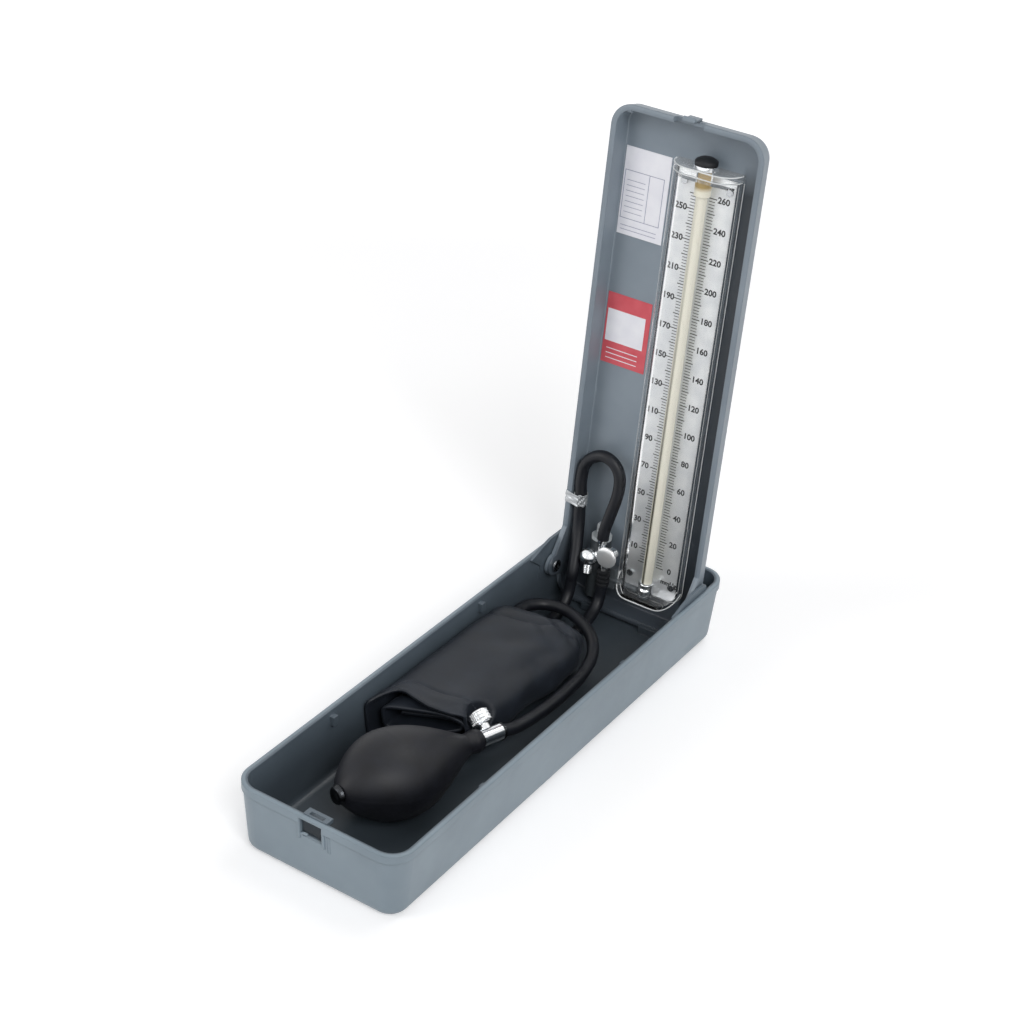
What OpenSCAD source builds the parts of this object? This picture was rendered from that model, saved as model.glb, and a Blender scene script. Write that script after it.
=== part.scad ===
// Desk mercury sphygmomanometer in a hinged plastic case, standing open.
// Millimetres. X is the width, -Y is the latch end, +Y the hinge end, +Z up.
// The origin is the middle of the flat foot under the base tray.
// Pieces in the lid are drawn in the lid's own frame: x across, y up the lid
// from the hinge axis, z out of the lid towards the reader (see on_lid).

/* [Base tray] */
// Length of the base tray at its rim
case_l = 350; // [335:1:370]
// Width of the base tray at its rim
case_w = 112; // [110:0.5:118]
// Height of the base tray
base_h = 45; // [43:0.5:50]
// Wall thickness of the base tray
base_wall = 3.5; // [2.8:0.1:4]
// Floor thickness of the base tray
base_floor = 3; // [2:0.1:3.4]
// How far each wall leans in from rim to floor
base_draft = 3; // [1:0.1:3.6]
// Corner radius of the tray at the rim
base_corner = 15; // [13:0.5:18]
// Outer rounding where the walls meet the floor
base_edge = 6; // [4:0.5:7]
// Height of the proud band round the rim
band_h = 5; // [3:0.5:7]
// How far the band stands proud of the wall
band_proud = 0.5; // [0.2:0.1:0.8]
// Height of the flat foot under the floor
foot_h = 0.5; // [0.3:0.1:1]
// Distance of the foot's edge inside the floor's edge
foot_inset = 4; // [2:0.5:8]

/* [Lid] */
// Gap between the lid's side and the inside of the base rim
lid_side_gap = 2.25; // [1.9:0.05:3]
// Gap between the closed lid and the base's front wall
lid_end_gap = 0.7; // [0.5:0.1:1.2]
// How deep the closed lid's rim sits below the base's rim
lid_sink = 3; // [2.5:0.1:3.5]
// Depth of the lid shell
lid_depth = 15; // [14:0.5:18]
// Wall thickness of the lid
lid_wall = 3.5; // [2.8:0.1:4]
// Thickness of the lid's panel
lid_floor = 2.5; // [2:0.1:3]
// How far the lid's walls lean in towards its panel
lid_draft = 1; // [0.5:0.1:1.5]
// Corner radius of the lid at its rim
lid_corner = 14; // [13:0.5:16]
// Outer rounding of the lid's back edge
lid_edge = 8; // [6:0.5:9]
// Lean of the open lid behind the upright, in degrees
lean = 4; // [2:0.5:6]

/* [Hinge] */
// Distance of the hinge axis from the tray's rear end
hinge_inset = 41.4; // [40:0.2:43]
// Height of the hinge axis above the table
hinge_h = 32; // [31:0.5:33]
// How far the lid runs below the hinge axis
lid_tail = 26; // [25:0.5:26.4]
// Hinge pin diameter
pin_d = 4; // [3:0.1:5]
// Diameter of the hinge pin's head
pin_head_d = 8; // [7:0.5:9]
// Thickness of the hinge pin's head
pin_head_t = 1.2; // [1:0.1:2]
// Radius of the lid's hinge lug round the pin
lug_r = 7; // [6:0.5:8]
// Height of the hinge cheek above the base rim
cheek_rise = 5; // [3:0.5:6]

/* [Latch] */
// Width of the window in the front wall
window_w = 15; // [13:0.5:18]
// Middle of the window, to the left of the tray's middle
window_x = 1.5; // [0:0.5:2]
// Height of the window
window_h = 12; // [10:0.5:14]
// Height of the rim bar above the window
latch_bar_h = 1.4; // [1.2:0.1:1.8]
// Width of the guide loop behind the rim bar
loop_w = 15.5; // [14:0.5:18]
// Depth of the guide loop behind the rim bar
loop_d = 4.7; // [4.4:0.1:5.5]
// How far the guide loop stands above the rim
loop_rise = 1; // [0.5:0.1:1.5]
// Width of the spring hook
hook_w = 8; // [6:0.5:9]
// Thickness of the spring hook
hook_t = 1.2; // [1:0.1:1.4]
// How far the hook's barb catches under the rim bar
hook_catch = 1; // [0.8:0.1:1.2]

/* [Manometer] */
// Middle of the manometer, to the right of the lid's middle
unit_x = 12.5; // [11:0.5:14]
// Width of the clear cover
unit_w = 44; // [40:0.5:46]
// Depth of the clear cover from the lid's panel
unit_d = 16.5; // [16:0.25:17]
// Wall thickness of the clear cover
cover_t = 1.8; // [1.2:0.1:2.2]
// Radius of the clear cover's front edges
cover_r = 14; // [12:0.5:14]
// Bottom of the clear cover, below the hinge axis
unit_bottom = 8; // [7:0.5:9]
// Room between the clear cover's top and the far end of the lid
unit_room = 30.4; // [28.4:0.5:36]
// Thickness of the cover's end cap
cap_t = 4; // [3:0.5:5]
// Width of the scale plate
plate_w = 39; // [34:0.5:39.5]
// Thickness of the scale plate
plate_t = 1; // [0.8:0.1:1.4]
// Gap behind the scale plate, filled by its spacers
plate_gap = 1.5; // [1:0.1:2]
// Outside diameter of the glass tube
tube_d = 7; // [6:0.5:8]
// Bore of the glass tube
tube_bore = 3.6; // [3:0.1:4.5]
// Distance of the tube's axis in front of the lid's panel
tube_out = 8; // [7.5:0.25:8.5]
// Height of zero on the scale above the hinge axis
scale_zero = 14; // [12:0.5:18]
// Height of 20 mmHg on the scale
pitch_20 = 18.9; // [18:0.1:19.1]
// Reading that the mercury column stands at
reading = 50; // [0:10:250]

/* [Reservoir and cock] */
// Outside diameter of the mercury reservoir
res_d = 13; // [12:0.5:14]
// Wall thickness of the reservoir
res_wall = 1.3; // [1:0.1:2]
// Reservoir's axis, to the left of the lid's middle
res_x = 24; // [23:0.5:25]
// Bottom of the reservoir below the hinge axis
res_bottom = 18; // [16:0.5:20]
// Top of the reservoir above the hinge axis
res_top = 22; // [20:0.5:23]
// Length of the reservoir's neck
neck_l = 8; // [6:0.5:10]
// Diameter of the cock's cross bar
bar_d = 7; // [6:0.5:7.5]
// Diameter of the domed nut
nut_d = 12; // [11:0.5:13]
// Diameter of the cock's disc knob
knob_d = 14; // [12:0.5:15]
// Thickness of the disc knob
knob_t = 3; // [2.5:0.25:3.5]
// Diameter of the knob's spindle
spindle_d = 4; // [3:0.25:4.5]
// Outside diameter of the air hoses
hose_d = 7.6; // [7:0.2:8]

/* [Cuff] */
// Height of the rolled cuff
cuff_h = 38; // [34:0.5:40]
// Width of the roll at its front mouth, as a share of the tray's width
cuff_front_share = 0.5536; // [0.5:0.01:0.56]
// Width of the roll at its rear end, as a share of the tray's width
cuff_rear_share = 0.5893; // [0.54:0.01:0.595]
// Thickness of the rolled fabric round the mouth
cuff_t = 6; // [4:0.5:8]
// Thickness of the bladder folded inside
bladder_t = 12; // [8:0.5:16]

/* [Bulb and release valve] */
// Greatest diameter of the bulb
bulb_d = 51; // [48:0.5:52]
// Length of the bulb
bulb_l = 100; // [94:1:102]
// Wall thickness of the bulb
bulb_t = 2.5; // [2:0.1:3.5]
// Outside diameter of the bulb's neck
neck_d = 13; // [12:0.5:15]
// Diameter of the release valve's barrel
barrel_d = 10; // [9:0.5:11]
// Length of the release valve's barrel
barrel_l = 17; // [15:0.5:20]
// Diameter of the release screw's knurled head
thumb_d = 11; // [9:0.5:11.5]
// Length of the release screw's head
thumb_l = 7.5; // [6:0.5:8]
// Diameter of the release screw's stem
stem_d = 3.6; // [3:0.1:4.5]
// Diameter of the inlet valve's ball
ball_d = 3; // [2.5:0.1:3.4]

/* [Fits] */
// Radial clearance of a turning pin in its bore
run_gap = 0.05; // [0.03:0.01:0.09]
// Radial clearance of a pressed or glued piece
seat_gap = 0.01; // [0.01:0.01:0.03]
// Clearance between pieces that move past each other
move_gap = 0.35; // [0.3:0.05:0.5]
// Clearance of a soft piece from its neighbours
soft_gap = 0.3; // [0.2:0.05:0.5]

/* [Hidden] */
$fn = 64;
eps = 0.01;
hull_fn = 32;

grey_out = "#8a969d";
grey_lid = "#7f8a90";
black_rubber = "#23262a";
chrome_grey = "#c9ccd0";

// --- derived places ---
hinge_y = case_l / 2 - hinge_inset;
lid_w = case_w - 2 * base_wall - 2 * lid_side_gap;
lid_top = hinge_y + case_l / 2 - base_wall - lid_end_gap;
lid_l = lid_top + lid_tail;
unit_top = lid_top - unit_room;
rim_n = hinge_h - base_h + lid_sink;
back_n = rim_n - lid_depth;
panel_n = back_n + lid_floor;
lug_x = lid_w / 2;
floor_z = foot_h + base_floor;
shell_h = base_h - foot_h;
base_in_edge = 4;
lid_in_edge = 1;

// Half width of the tray's inside at height z
function inside_x(z) =
    case_w / 2 - base_wall - base_draft * (base_h - z) / (base_h - floor_z);

// Half width of the tray's outside at height z
function outside_x(z) =
    case_w / 2 - band_proud - base_draft * (base_h - z) / shell_h;

// Points of a circular arc
function arc(c, r, a0, a1, n) =
    [for (i = [0:n]) c + r * [cos(a0 + (a1 - a0) * i / n), sin(a0 + (a1 - a0) * i / n)]];

// A point of the lid's frame, given in the base's frame
function from_lid(p) = [
    p.x,
    hinge_y + p.y * sin(lean) - p.z * cos(lean),
    hinge_h + p.y * cos(lean) + p.z * sin(lean)
];

module on_lid() {
    translate([0, hinge_y, hinge_h]) rotate([90 - lean, 0, 0]) children();
}

// --- shells: one wall section carried round a rounded rectangle ---
// The section's x runs outwards from the middle of the corner arcs.
function wall_section(h, wall, flr, draft, corner, edge, in_edge, band, proud) =
    let (rim = corner - proud, foot = rim - draft, in_rim = corner - wall,
         in_foot = in_rim - draft)
    concat(
        [[0, 0]],
        arc([foot - edge, edge], edge, -90, 0, 6),
        [[rim - draft * band / h, h - band], [corner, h - band], [corner, h], [in_rim, h]],
        arc([in_foot - in_edge, flr + in_edge], in_edge, 0, -90, 5),
        [[0, flr]]);

module tray(l, w, corner, flr, section) {
    cx = w / 2 - corner;
    cy = l / 2 - corner;
    for (k = [0:3]) {
        half = k % 2 == 0 ? [cx, cy] : [cy, cx];
        rotate([0, 0, 90 * k]) translate([half.x, half.y, 0])
            rotate_extrude(angle = 90) polygon(section);
        rotate([0, 0, 90 * k]) translate([half.x, half.y, 0]) rotate([90, 0, 0])
            linear_extrude(2 * half.y) polygon(section);
    }
    translate([-cx, -cy, 0]) cube([2 * cx, 2 * cy, flr]);
}

module rounded_plate(l, w, r, t) {
    linear_extrude(t) union() {
        square([w - 2 * r, l], center = true);
        square([w, l - 2 * r], center = true);
        for (sx = [-1, 1], sy = [-1, 1])
            translate([sx * (w / 2 - r), sy * (l / 2 - r)]) circle(r);
    }
}

// --- hinge cheeks on the base: y,z outline, carried a short way along x ---
cheek_in = lug_x + move_gap + 0.3;
cheek_low = floor_z + 3;
cheek_t = outside_x(cheek_low) - cheek_in;
cheek_front = hinge_y - 22;
cheek_rear = hinge_y + 18;
cheek_r = 4;
boss_r = 5.4;

function cheek_outline() = concat(
    [[cheek_front, base_h - 1], [hinge_y - 9, base_h + cheek_rise * 0.6],
     [hinge_y, base_h + cheek_rise]],
    arc([cheek_rear - cheek_r, base_h + cheek_rise - cheek_r], cheek_r, 90, 0, 6),
    [[cheek_rear, cheek_low + 1], [hinge_y + 8, cheek_low]],
    arc([hinge_y + 8, hinge_h - 4], hinge_h - 4 - cheek_low, -100, -170, 6),
    [[hinge_y - 11, hinge_h + 3]]);

module cheek(side) {
    mirror([side > 0 ? 0 : 1, 0, 0]) {
        translate([cheek_in, 0, 0]) rotate([90, 0, 90])
            linear_extrude(cheek_t) polygon(cheek_outline());
        translate([cheek_in, hinge_y, hinge_h]) rotate([0, 90, 0])
            cylinder(r = boss_r, h = cheek_t);
    }
}

pin_in = lug_x - lid_wall - 2 * move_gap;
pin_end = outside_x(hinge_h) - 1.2;

// --- latch places ---
wall_front_y = -case_l / 2 + base_wall;
window_top = base_h - latch_bar_h;
loop_t = 2.5;
slot_w = hook_w + 4 * move_gap;
slot_d = 2.5;
hook_s = hinge_y - wall_front_y - 0.3;
hook_low_n = hinge_h - window_top + move_gap;
hook_pivot_n = rim_n - 7.5;
notch_h = lid_sink + loop_rise + 2 * move_gap;
notch_w = loop_w + 4;

stop_y = hinge_y - rim_n * cos(lean) - lid_tail * sin(lean) - move_gap;
ledge_z = base_h - lid_sink - move_gap;

module base_tray() {
    color(grey_out) difference() {
        union() {
            translate([0, 0, foot_h]) tray(case_l, case_w, base_corner, base_floor,
                wall_section(shell_h, base_wall, base_floor, base_draft, base_corner,
                    base_edge, base_in_edge, band_h, band_proud));
            rounded_plate(
                case_l - 2 * (base_draft + band_proud + base_edge + foot_inset),
                case_w - 2 * (base_draft + band_proud + base_edge + foot_inset),
                base_corner - base_edge, foot_h + 1);
            cheek(1);
            cheek(-1);
            // guide loop for the hook, behind the rim bar
            translate([-loop_w / 2, wall_front_y - 1, base_h + loop_rise - loop_t])
                cube([loop_w, loop_d + 1, loop_t]);
            // ribs that the open lid's lower rim rests against
            for (sx = [-1, 1])
                translate([sx * 21.5 - 6.5, stop_y - 3, floor_z - 0.5]) cube([13, 3, 5.5]);
            // ledges that the closed lid's rim lands on
            for (sx = [-1, 1], y = [-0.26 * case_l, 0.16 * case_l])
                translate([sx * (inside_x(ledge_z) - 0.9) - 2.1, y - 2, ledge_z - 6])
                    cube([4.2, 4, 6]);
        }
        for (sx = [-1, 1])
            translate([sx * (pin_end + 0.1) / 2, hinge_y, hinge_h]) rotate([0, 90, 0])
                cylinder(d = pin_d + 2 * seat_gap, h = pin_end + 0.1, center = true);
        translate([-window_x - window_w / 2, -case_l / 2 - 1, window_top - window_h])
            cube([window_w, base_wall + 2, window_h]);
        translate([-slot_w / 2, wall_front_y, base_h - 5]) cube([slot_w, slot_d, 10]);
    }
}

module hinge_pin(side) {
    color(chrome_grey) mirror([side > 0 ? 0 : 1, 0, 0])
        translate([0, hinge_y, hinge_h]) rotate([0, 90, 0]) {
            translate([0, 0, pin_in - pin_head_t]) cylinder(d = pin_head_d, h = pin_head_t);
            translate([0, 0, pin_in - eps]) cylinder(d = pin_d, h = pin_end - pin_in);
        }
}
module hinge_pin_left() { hinge_pin(-1); }
module hinge_pin_right() { hinge_pin(1); }

// --- lid ---
lug_top = 24;
lug_low = -10;

module lid_shell() {
    color(grey_lid) on_lid() difference() {
        union() {
            translate([0, (lid_top - lid_tail) / 2, back_n])
                tray(lid_l, lid_w, lid_corner, lid_floor,
                    wall_section(lid_depth, lid_wall, lid_floor, lid_draft, lid_corner,
                        lid_edge, lid_in_edge, 1, 0));
            for (side = [-1, 1]) lug_plate(side);
            // corner tabs inside the far end
            for (x = [-40, 41])
                translate([x - 2, lid_top - lid_wall - 2, rim_n - 3]) cube([4, 2.5, 1.6]);
        }
        rotate([0, 90, 0]) cylinder(d = pin_d + 2 * run_gap, h = case_w, center = true);
        // notch over the guide loop, and the pocket of the spring hook
        translate([-notch_w / 2, lid_top - lid_wall - 1, rim_n - notch_h])
            cube([notch_w, lid_wall + 2, notch_h + 1]);
        translate([-hook_w / 2 - move_gap, hook_s - hook_t - 2.5 * move_gap, hook_pivot_n - 1.5])
            cube([hook_w + 2 * move_gap, 10, -hook_pivot_n + rim_n]);
    }
}

// Lug on one side: a flare of the side wall down to the hinge pin
module lug_plate(side) {
    x0 = side > 0 ? lug_x - lid_wall : -lug_x;
    translate([x0, 0, 0]) rotate([90, 0, 90]) linear_extrude(lid_wall) union() {
        polygon([[lug_low, rim_n - 1], [lug_top, rim_n - 1], [lug_top, rim_n],
                 [lug_r, 0], [-lug_r, 0], [lug_low, rim_n]]);
        circle(lug_r);
    }
}

module latch_hook() {
    color(grey_lid) on_lid() {
        translate([-hook_w / 2, hook_s - hook_t, hook_pivot_n - 1])
            cube([hook_w, hook_t, hook_low_n + 2.2 - hook_pivot_n + 1]);
        translate([-hook_w / 2, hook_s - eps, hook_low_n]) rotate([90, 0, 90])
            linear_extrude(hook_w)
                polygon([[0, 0], [hook_catch + 0.3, 0], [hook_catch + 0.3, 0.6], [0, 2.2]]);
    }
}

// --- manometer ---
tube_n = panel_n + tube_out;
unit_front_n = panel_n + unit_d;
plate_n = panel_n + plate_gap;
tube_low = -unit_bottom + cover_t + 6;
tube_high = unit_top - 6;
mercury_top = scale_zero + pitch_20 * reading / 20;
bottom_r = 10;
tube_cap_d = 14.5;
screw_d = 2.5;
screw_x = 15;
screw_s = [4, unit_top - 8];
seal_d = 10;
pipe_d = 3.6;
pipe_s = -unit_bottom + cover_t + 3;

// Cross-section of the clear cover: flat back, round front edges
module cover_shape(w, depth, r) {
    union() {
        square_x = w / 2 - r;
        translate([-w / 2, 0]) square([w, depth - r]);
        translate([-square_x, 0]) square([2 * square_x, depth]);
        for (sx = [-1, 1]) intersection() {
            translate([sx * square_x, depth - r]) circle(r);
            translate([-w / 2, 0]) square([w, depth]);
        }
    }
}

// Carries a flat shape (x across, y out of the panel) up the lid
module up_lid(s0, s1) {
    translate([unit_x, s1, panel_n]) rotate([90, 0, 0]) linear_extrude(s1 - s0) children();
}

// Keeps what lies inside the cover's outline as seen from the front,
// with its two lower corners rounded
module in_front(w, s0, r) {
    intersection() {
        children();
        translate([unit_x, 0, panel_n - 1]) linear_extrude(unit_d + 3) union() {
            translate([-w / 2, s0 + r]) square([w, lid_l]);
            translate([-w / 2 + r, s0]) square([w - 2 * r, lid_l]);
            for (sx = [-1, 1]) translate([sx * (w / 2 - r), s0 + r]) circle(r);
        }
    }
}

module clear_cover() {
    color("#cfd8dc", 0.35) on_lid() difference() {
        in_front(unit_w, -unit_bottom, bottom_r)
            up_lid(-unit_bottom, unit_top) cover_shape(unit_w, unit_d, cover_r);
        in_front(unit_w - 2 * cover_t, -unit_bottom + cover_t, bottom_r - cover_t)
            up_lid(-unit_bottom + cover_t, unit_top + 1) translate([0, -1])
                cover_shape(unit_w - 2 * cover_t, unit_d - cover_t + 1, cover_r - cover_t);
        // way in for the transfer pipe
        translate([unit_x - unit_w / 2 - 1, pipe_s, tube_n]) rotate([0, 90, 0])
            cylinder(d = pipe_d + 2 * seat_gap, h = cover_t + 7);
    }
}

module cover_cap() {
    color("#cfd8dc", 0.35) on_lid() difference() {
        union() {
            up_lid(unit_top, unit_top + cap_t) cover_shape(unit_w, unit_d, cover_r);
            up_lid(unit_top - 3, unit_top + eps)
                cover_shape(unit_w - 2 * cover_t - 2 * seat_gap, unit_d - cover_t - seat_gap,
                    cover_r - cover_t);
        }
        translate([unit_x, 0, tube_n]) rotate([-90, 0, 0])
            cylinder(d = seal_d + 2 * seat_gap, h = lid_l);
        up_lid(unit_top - 4, unit_top) translate([-plate_w / 2 - 0.5, -1])
            square([plate_w + 1, plate_gap + plate_t + 1.2]);
    }
}

module scale_plate() {
    color("#b9bdc0") on_lid() difference() {
        union() {
            in_front(unit_w - 2 * cover_t - 2 * seat_gap, -unit_bottom + cover_t + seat_gap,
                bottom_r - cover_t)
                translate([unit_x - plate_w / 2, -unit_bottom, plate_n])
                    cube([plate_w, unit_top + unit_bottom - 1, plate_t]);
            for (s = screw_s) translate([unit_x - plate_w / 2, s - 3, panel_n])
                cube([plate_w, 6, plate_gap + eps]);
        }
        for (s = screw_s, sx = [-1, 1])
            translate([unit_x + sx * screw_x, s, panel_n - 1])
                cylinder(d = screw_d + 2 * seat_gap, h = plate_gap + plate_t + 2);
    }
}

module unit_screws() {
    color(chrome_grey) on_lid()
        for (s = screw_s, sx = [-1, 1]) translate([unit_x + sx * screw_x, s, 0]) {
            translate([0, 0, panel_n]) cylinder(d = screw_d, h = plate_gap + plate_t + 0.5);
            translate([0, 0, plate_n + plate_t]) cylinder(d = 4.4, h = 1.3);
        }
}

// Cylinder standing along the tube's axis
module on_tube(s0, s1, d) {
    translate([unit_x, s0, tube_n]) rotate([-90, 0, 0]) cylinder(d = d, h = s1 - s0);
}

module glass_tube() {
    color("#d9d6b0", 0.5) on_lid() difference() {
        on_tube(tube_low, tube_high, tube_d);
        on_tube(tube_low - 1, tube_high + 1, tube_bore);
    }
}

module mercury_column() {
    color("#6f7448") on_lid() on_tube(tube_low, mercury_top, tube_bore - 2 * seat_gap);
}

module bottom_seal() {
    color(black_rubber) on_lid() difference() {
        on_tube(tube_low, tube_low + 5, tube_d + 2.4);
        on_tube(tube_low - 1, tube_low + 6, tube_d + 2 * seat_gap);
    }
}

module tube_socket() {
    color(chrome_grey) on_lid() difference() {
        on_tube(-unit_bottom + cover_t, tube_low + 5, tube_d + 3.6);
        on_tube(tube_low, tube_low + 6, tube_d + 2.4 + 2 * seat_gap);
        on_tube(pipe_s, tube_low + 1, tube_bore);
        translate([unit_x - tube_d, pipe_s, tube_n]) rotate([0, 90, 0])
            cylinder(d = pipe_d + 2 * seat_gap, h = tube_d);
    }
}

module top_seal() {
    color(black_rubber) on_lid() difference() {
        on_tube(tube_high - 6, unit_top + cap_t, seal_d);
        on_tube(tube_high - 7, tube_high, tube_d + 2 * seat_gap);
        on_tube(tube_high - 1, unit_top + cap_t + 1, tube_bore);
    }
}

module tube_cap_ring() {
    color(chrome_grey) on_lid() difference() {
        on_tube(unit_top + cap_t, unit_top + cap_t + 2.5, tube_cap_d);
        on_tube(unit_top, unit_top + cap_t + 3, seal_d - 2);
    }
}

module tube_cap() {
    color(black_rubber) on_lid() {
        on_tube(unit_top + cap_t + 2.5, unit_top + cap_t + 5.5, tube_cap_d - 1);
        on_tube(unit_top + cap_t + 5.4, unit_top + cap_t + 7, tube_cap_d - 4);
        on_tube(unit_top + cap_t, unit_top + cap_t + 3, seal_d - 2 - 2 * seat_gap);
    }
}

// --- reservoir and cock ---
res_n = panel_n + res_d / 2 + 0.2;
neck_ring = 7.5;
module on_res(s0, s1, d) {
    translate([-res_x, s0, res_n]) rotate([-90, 0, 0]) cylinder(d = d, h = s1 - s0);
}

module reservoir_body() {
    color("#9aa0a4") on_lid() difference() {
        on_res(-res_bottom, res_top, res_d);
        on_res(-res_bottom + 2, res_top + 1, res_d - 2 * res_wall);
        translate([-res_x, pipe_s, tube_n]) rotate([0, 90, 0])
            cylinder(d = pipe_d + 2 * seat_gap, h = res_d);
    }
}

module reservoir_neck() {
    color("#aab0b3") on_lid() {
        on_res(res_top, res_top + 2.5, res_d);
        on_res(res_top - 3, res_top + eps, res_d - 2 * res_wall - 2 * seat_gap);
        for (k = [0:2])
            on_res(res_top + 2.4 + k * neck_l / 3, res_top + 2.5 + (k + 0.7) * neck_l / 3, neck_ring);
        on_res(res_top + 2.4, res_top + 2.5 + neck_l, neck_ring - 1.4);
    }
}

module reservoir_mercury() {
    color("#c5c8cc") on_lid() difference() {
        on_res(-res_bottom + 2, 4, res_d - 2 * res_wall - 2 * seat_gap);
        translate([-res_x, pipe_s, tube_n]) rotate([0, 90, 0])
            cylinder(d = pipe_d + 4 * seat_gap, h = res_d);
    }
}

link_d = 6.3;
module transfer_link() {
    color("#9aa0a4") on_lid() {
        x0 = -res_x + res_d / 2 - res_wall;
        translate([x0, pipe_s, tube_n]) rotate([0, 90, 0])
            cylinder(d = pipe_d, h = unit_x - tube_d / 2 - 2.5 + seat_gap - x0);
        difference() {
            translate([-res_x + 2, pipe_s - 6, tube_n - 5])
                cube([unit_x - unit_w / 2 - move_gap - (-res_x + 2), 14, link_d]);
            on_res(-res_bottom - 1, res_top, res_d + 2 * seat_gap);
        }
    }
}

// The cock: a cross bar saddled on the reservoir, a domed nut at its left,
// the plug housing with its disc knob at its right
bar_n = panel_n + 14.3;
bar_left = [-26, 11.7];
bar_right = [-12.5, 17.2];
bar_angle = atan2(bar_right.y - bar_left.y, bar_right.x - bar_left.x);
barb_x = -19;
port_x = -15.5;
barb_top = 26;
port_d = 4.6;
housing_d = spindle_d + 4;
knob_back_n = bar_n + bar_d / 2 + 0.2;

module clear_of_reservoir() {
    difference() {
        children();
        on_res(-res_bottom, res_top + 20, res_d + 2 * seat_gap);
    }
}

module cock_body() {
    color(chrome_grey) on_lid() clear_of_reservoir() difference() {
        union() {
            translate([bar_left.x, bar_left.y, bar_n]) rotate([0, 0, bar_angle]) rotate([0, 90, 0])
                cylinder(d = bar_d, h = norm(bar_right - bar_left));
            translate([bar_right.x, bar_right.y, bar_n - bar_d / 2])
                cylinder(d = housing_d, h = bar_d);
            // barb of the arch hose
            translate([barb_x, bar_left.y + 3, bar_n]) rotate([-90, 0, 0])
                cylinder(d = 4.6, h = barb_top - bar_left.y - 3);
            translate([barb_x, barb_top - 2.5, bar_n]) rotate([-90, 0, 0]) cylinder(d = 6.2, h = 2.5);
            // outlet down to the coupling
            translate([port_x, 0, bar_n]) rotate([-90, 0, 0]) cylinder(d = port_d, h = 15);
        }
        translate([bar_right.x, bar_right.y, bar_n - bar_d / 2 + 1])
            cylinder(d = spindle_d + 2 * run_gap, h = bar_d);
    }
}

module domed_nut() {
    color(chrome_grey) on_lid() clear_of_reservoir() difference() {
        translate([bar_left.x, bar_left.y, bar_n + 2.4]) union() {
            sphere(d = nut_d);
            translate([0, -nut_d / 2 + 1, 0]) rotate([90, 0, 0]) cylinder(d = 6.5, h = 5);
        }
        translate([bar_left.x, bar_left.y, bar_n]) rotate([0, 0, bar_angle]) rotate([0, 90, 0])
            cylinder(d = bar_d + 2 * seat_gap, h = 20);
    }
}

module cock_knob() {
    color(chrome_grey) on_lid() translate([bar_right.x, bar_right.y, 0]) {
        translate([0, 0, bar_n - bar_d / 2 + 1.2])
            cylinder(d = spindle_d, h = knob_back_n - bar_n + bar_d / 2);
        translate([0, 0, knob_back_n]) cylinder(d = knob_d, h = knob_t);
    }
}

module hose_coupling() {
    color(black_rubber) on_lid() difference() {
        translate([port_x, -6, bar_n]) rotate([-90, 0, 0]) union() {
            cylinder(d = 7.4, h = 12);
            for (k = [0:3]) translate([0, 0, 0.4 + 3 * k]) cylinder(d = 8.8, h = 2);
        }
        translate([port_x, 0, bar_n]) rotate([-90, 0, 0])
            cylinder(d = port_d + 2 * seat_gap, h = 8);
    }
}

// Tape round the left hose and over the lid's rim
strap_s = 42;
strap_w = 7;
strap_t = 0.6;
strap_x = -lid_w / 2 + lid_wall + 5.45;
strap_gap = 0.6;
strap_n = panel_n + 9.5;
module hose_strap() {
    color("#b8bcbf") on_lid() translate([0, strap_s + strap_w, 0]) rotate([90, 0, 0])
        linear_extrude(strap_w) difference() {
            union() {
                translate([strap_x, strap_n]) circle(d = hose_d + 2 * strap_t + 2 * strap_gap);
                translate([-lug_x - strap_t, rim_n])
                    square([lug_x + strap_x + strap_t, strap_t]);
                translate([-lug_x - strap_t, rim_n - 6]) square([strap_t, 6 + strap_t]);
            }
            translate([strap_x, strap_n]) circle(d = hose_d + 2 * strap_gap);
        }
}

// Cards on the panel, between the lid's wall and the clear cover
card_t = 0.3;
card_w = 30.8;
white_card_h = 54.3;
red_card_h = 46;
card_x = -lid_w / 2 + lid_wall + lid_draft + 1.25;
white_card_s = lid_top - 82.9;
red_card_s = white_card_s - 38 - red_card_h;
module card(s0, h) {
    on_lid() translate([card_x, s0, panel_n])
        cube([min(card_w, unit_x - unit_w / 2 - card_x - 2), h, card_t]);
}
module white_card() { color("#e8e9ee") card(white_card_s, white_card_h); }
module red_card() { color("#c8342f") card(red_card_s, red_card_h); }

// --- the bulb's slanting axis, from its inlet end to the release valve ---
// Routes and soft goods are placed for a tray of this size, and keep their share of it
drawn_l = 350;
drawn_w = 112;
function laid(p) = [p.x * case_w / drawn_w, p.y * case_l / drawn_l, p.z];
bulb_turn = 15.5;
bulb_droop = 4.4;
bulb_widest = 0.38;
bulb_mid_z = floor_z + bulb_d / 2 + 0.2;
bulb_tail_z = bulb_mid_z + bulb_widest * bulb_l * sin(bulb_droop);
bulb_dir = [sin(bulb_turn) * cos(bulb_droop), cos(bulb_turn) * cos(bulb_droop), -sin(bulb_droop)];
// The release valve's far end is placed, and the bulb lies behind it
bulb_tail = laid([18.674, -22.346, 0]) - (bulb_l + barrel_l + 1.5) * bulb_dir;
function on_axis(t) = [bulb_tail.x, bulb_tail.y, bulb_tail_z] + t * bulb_dir;
hose_from = on_axis(bulb_l + barrel_l + 1.5);
inlet_d = 8;
spigot_d = 6;
screw_at = 8.5;
screw_roll = -58;
thumb_at = barrel_d / 2 + 3;

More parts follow.
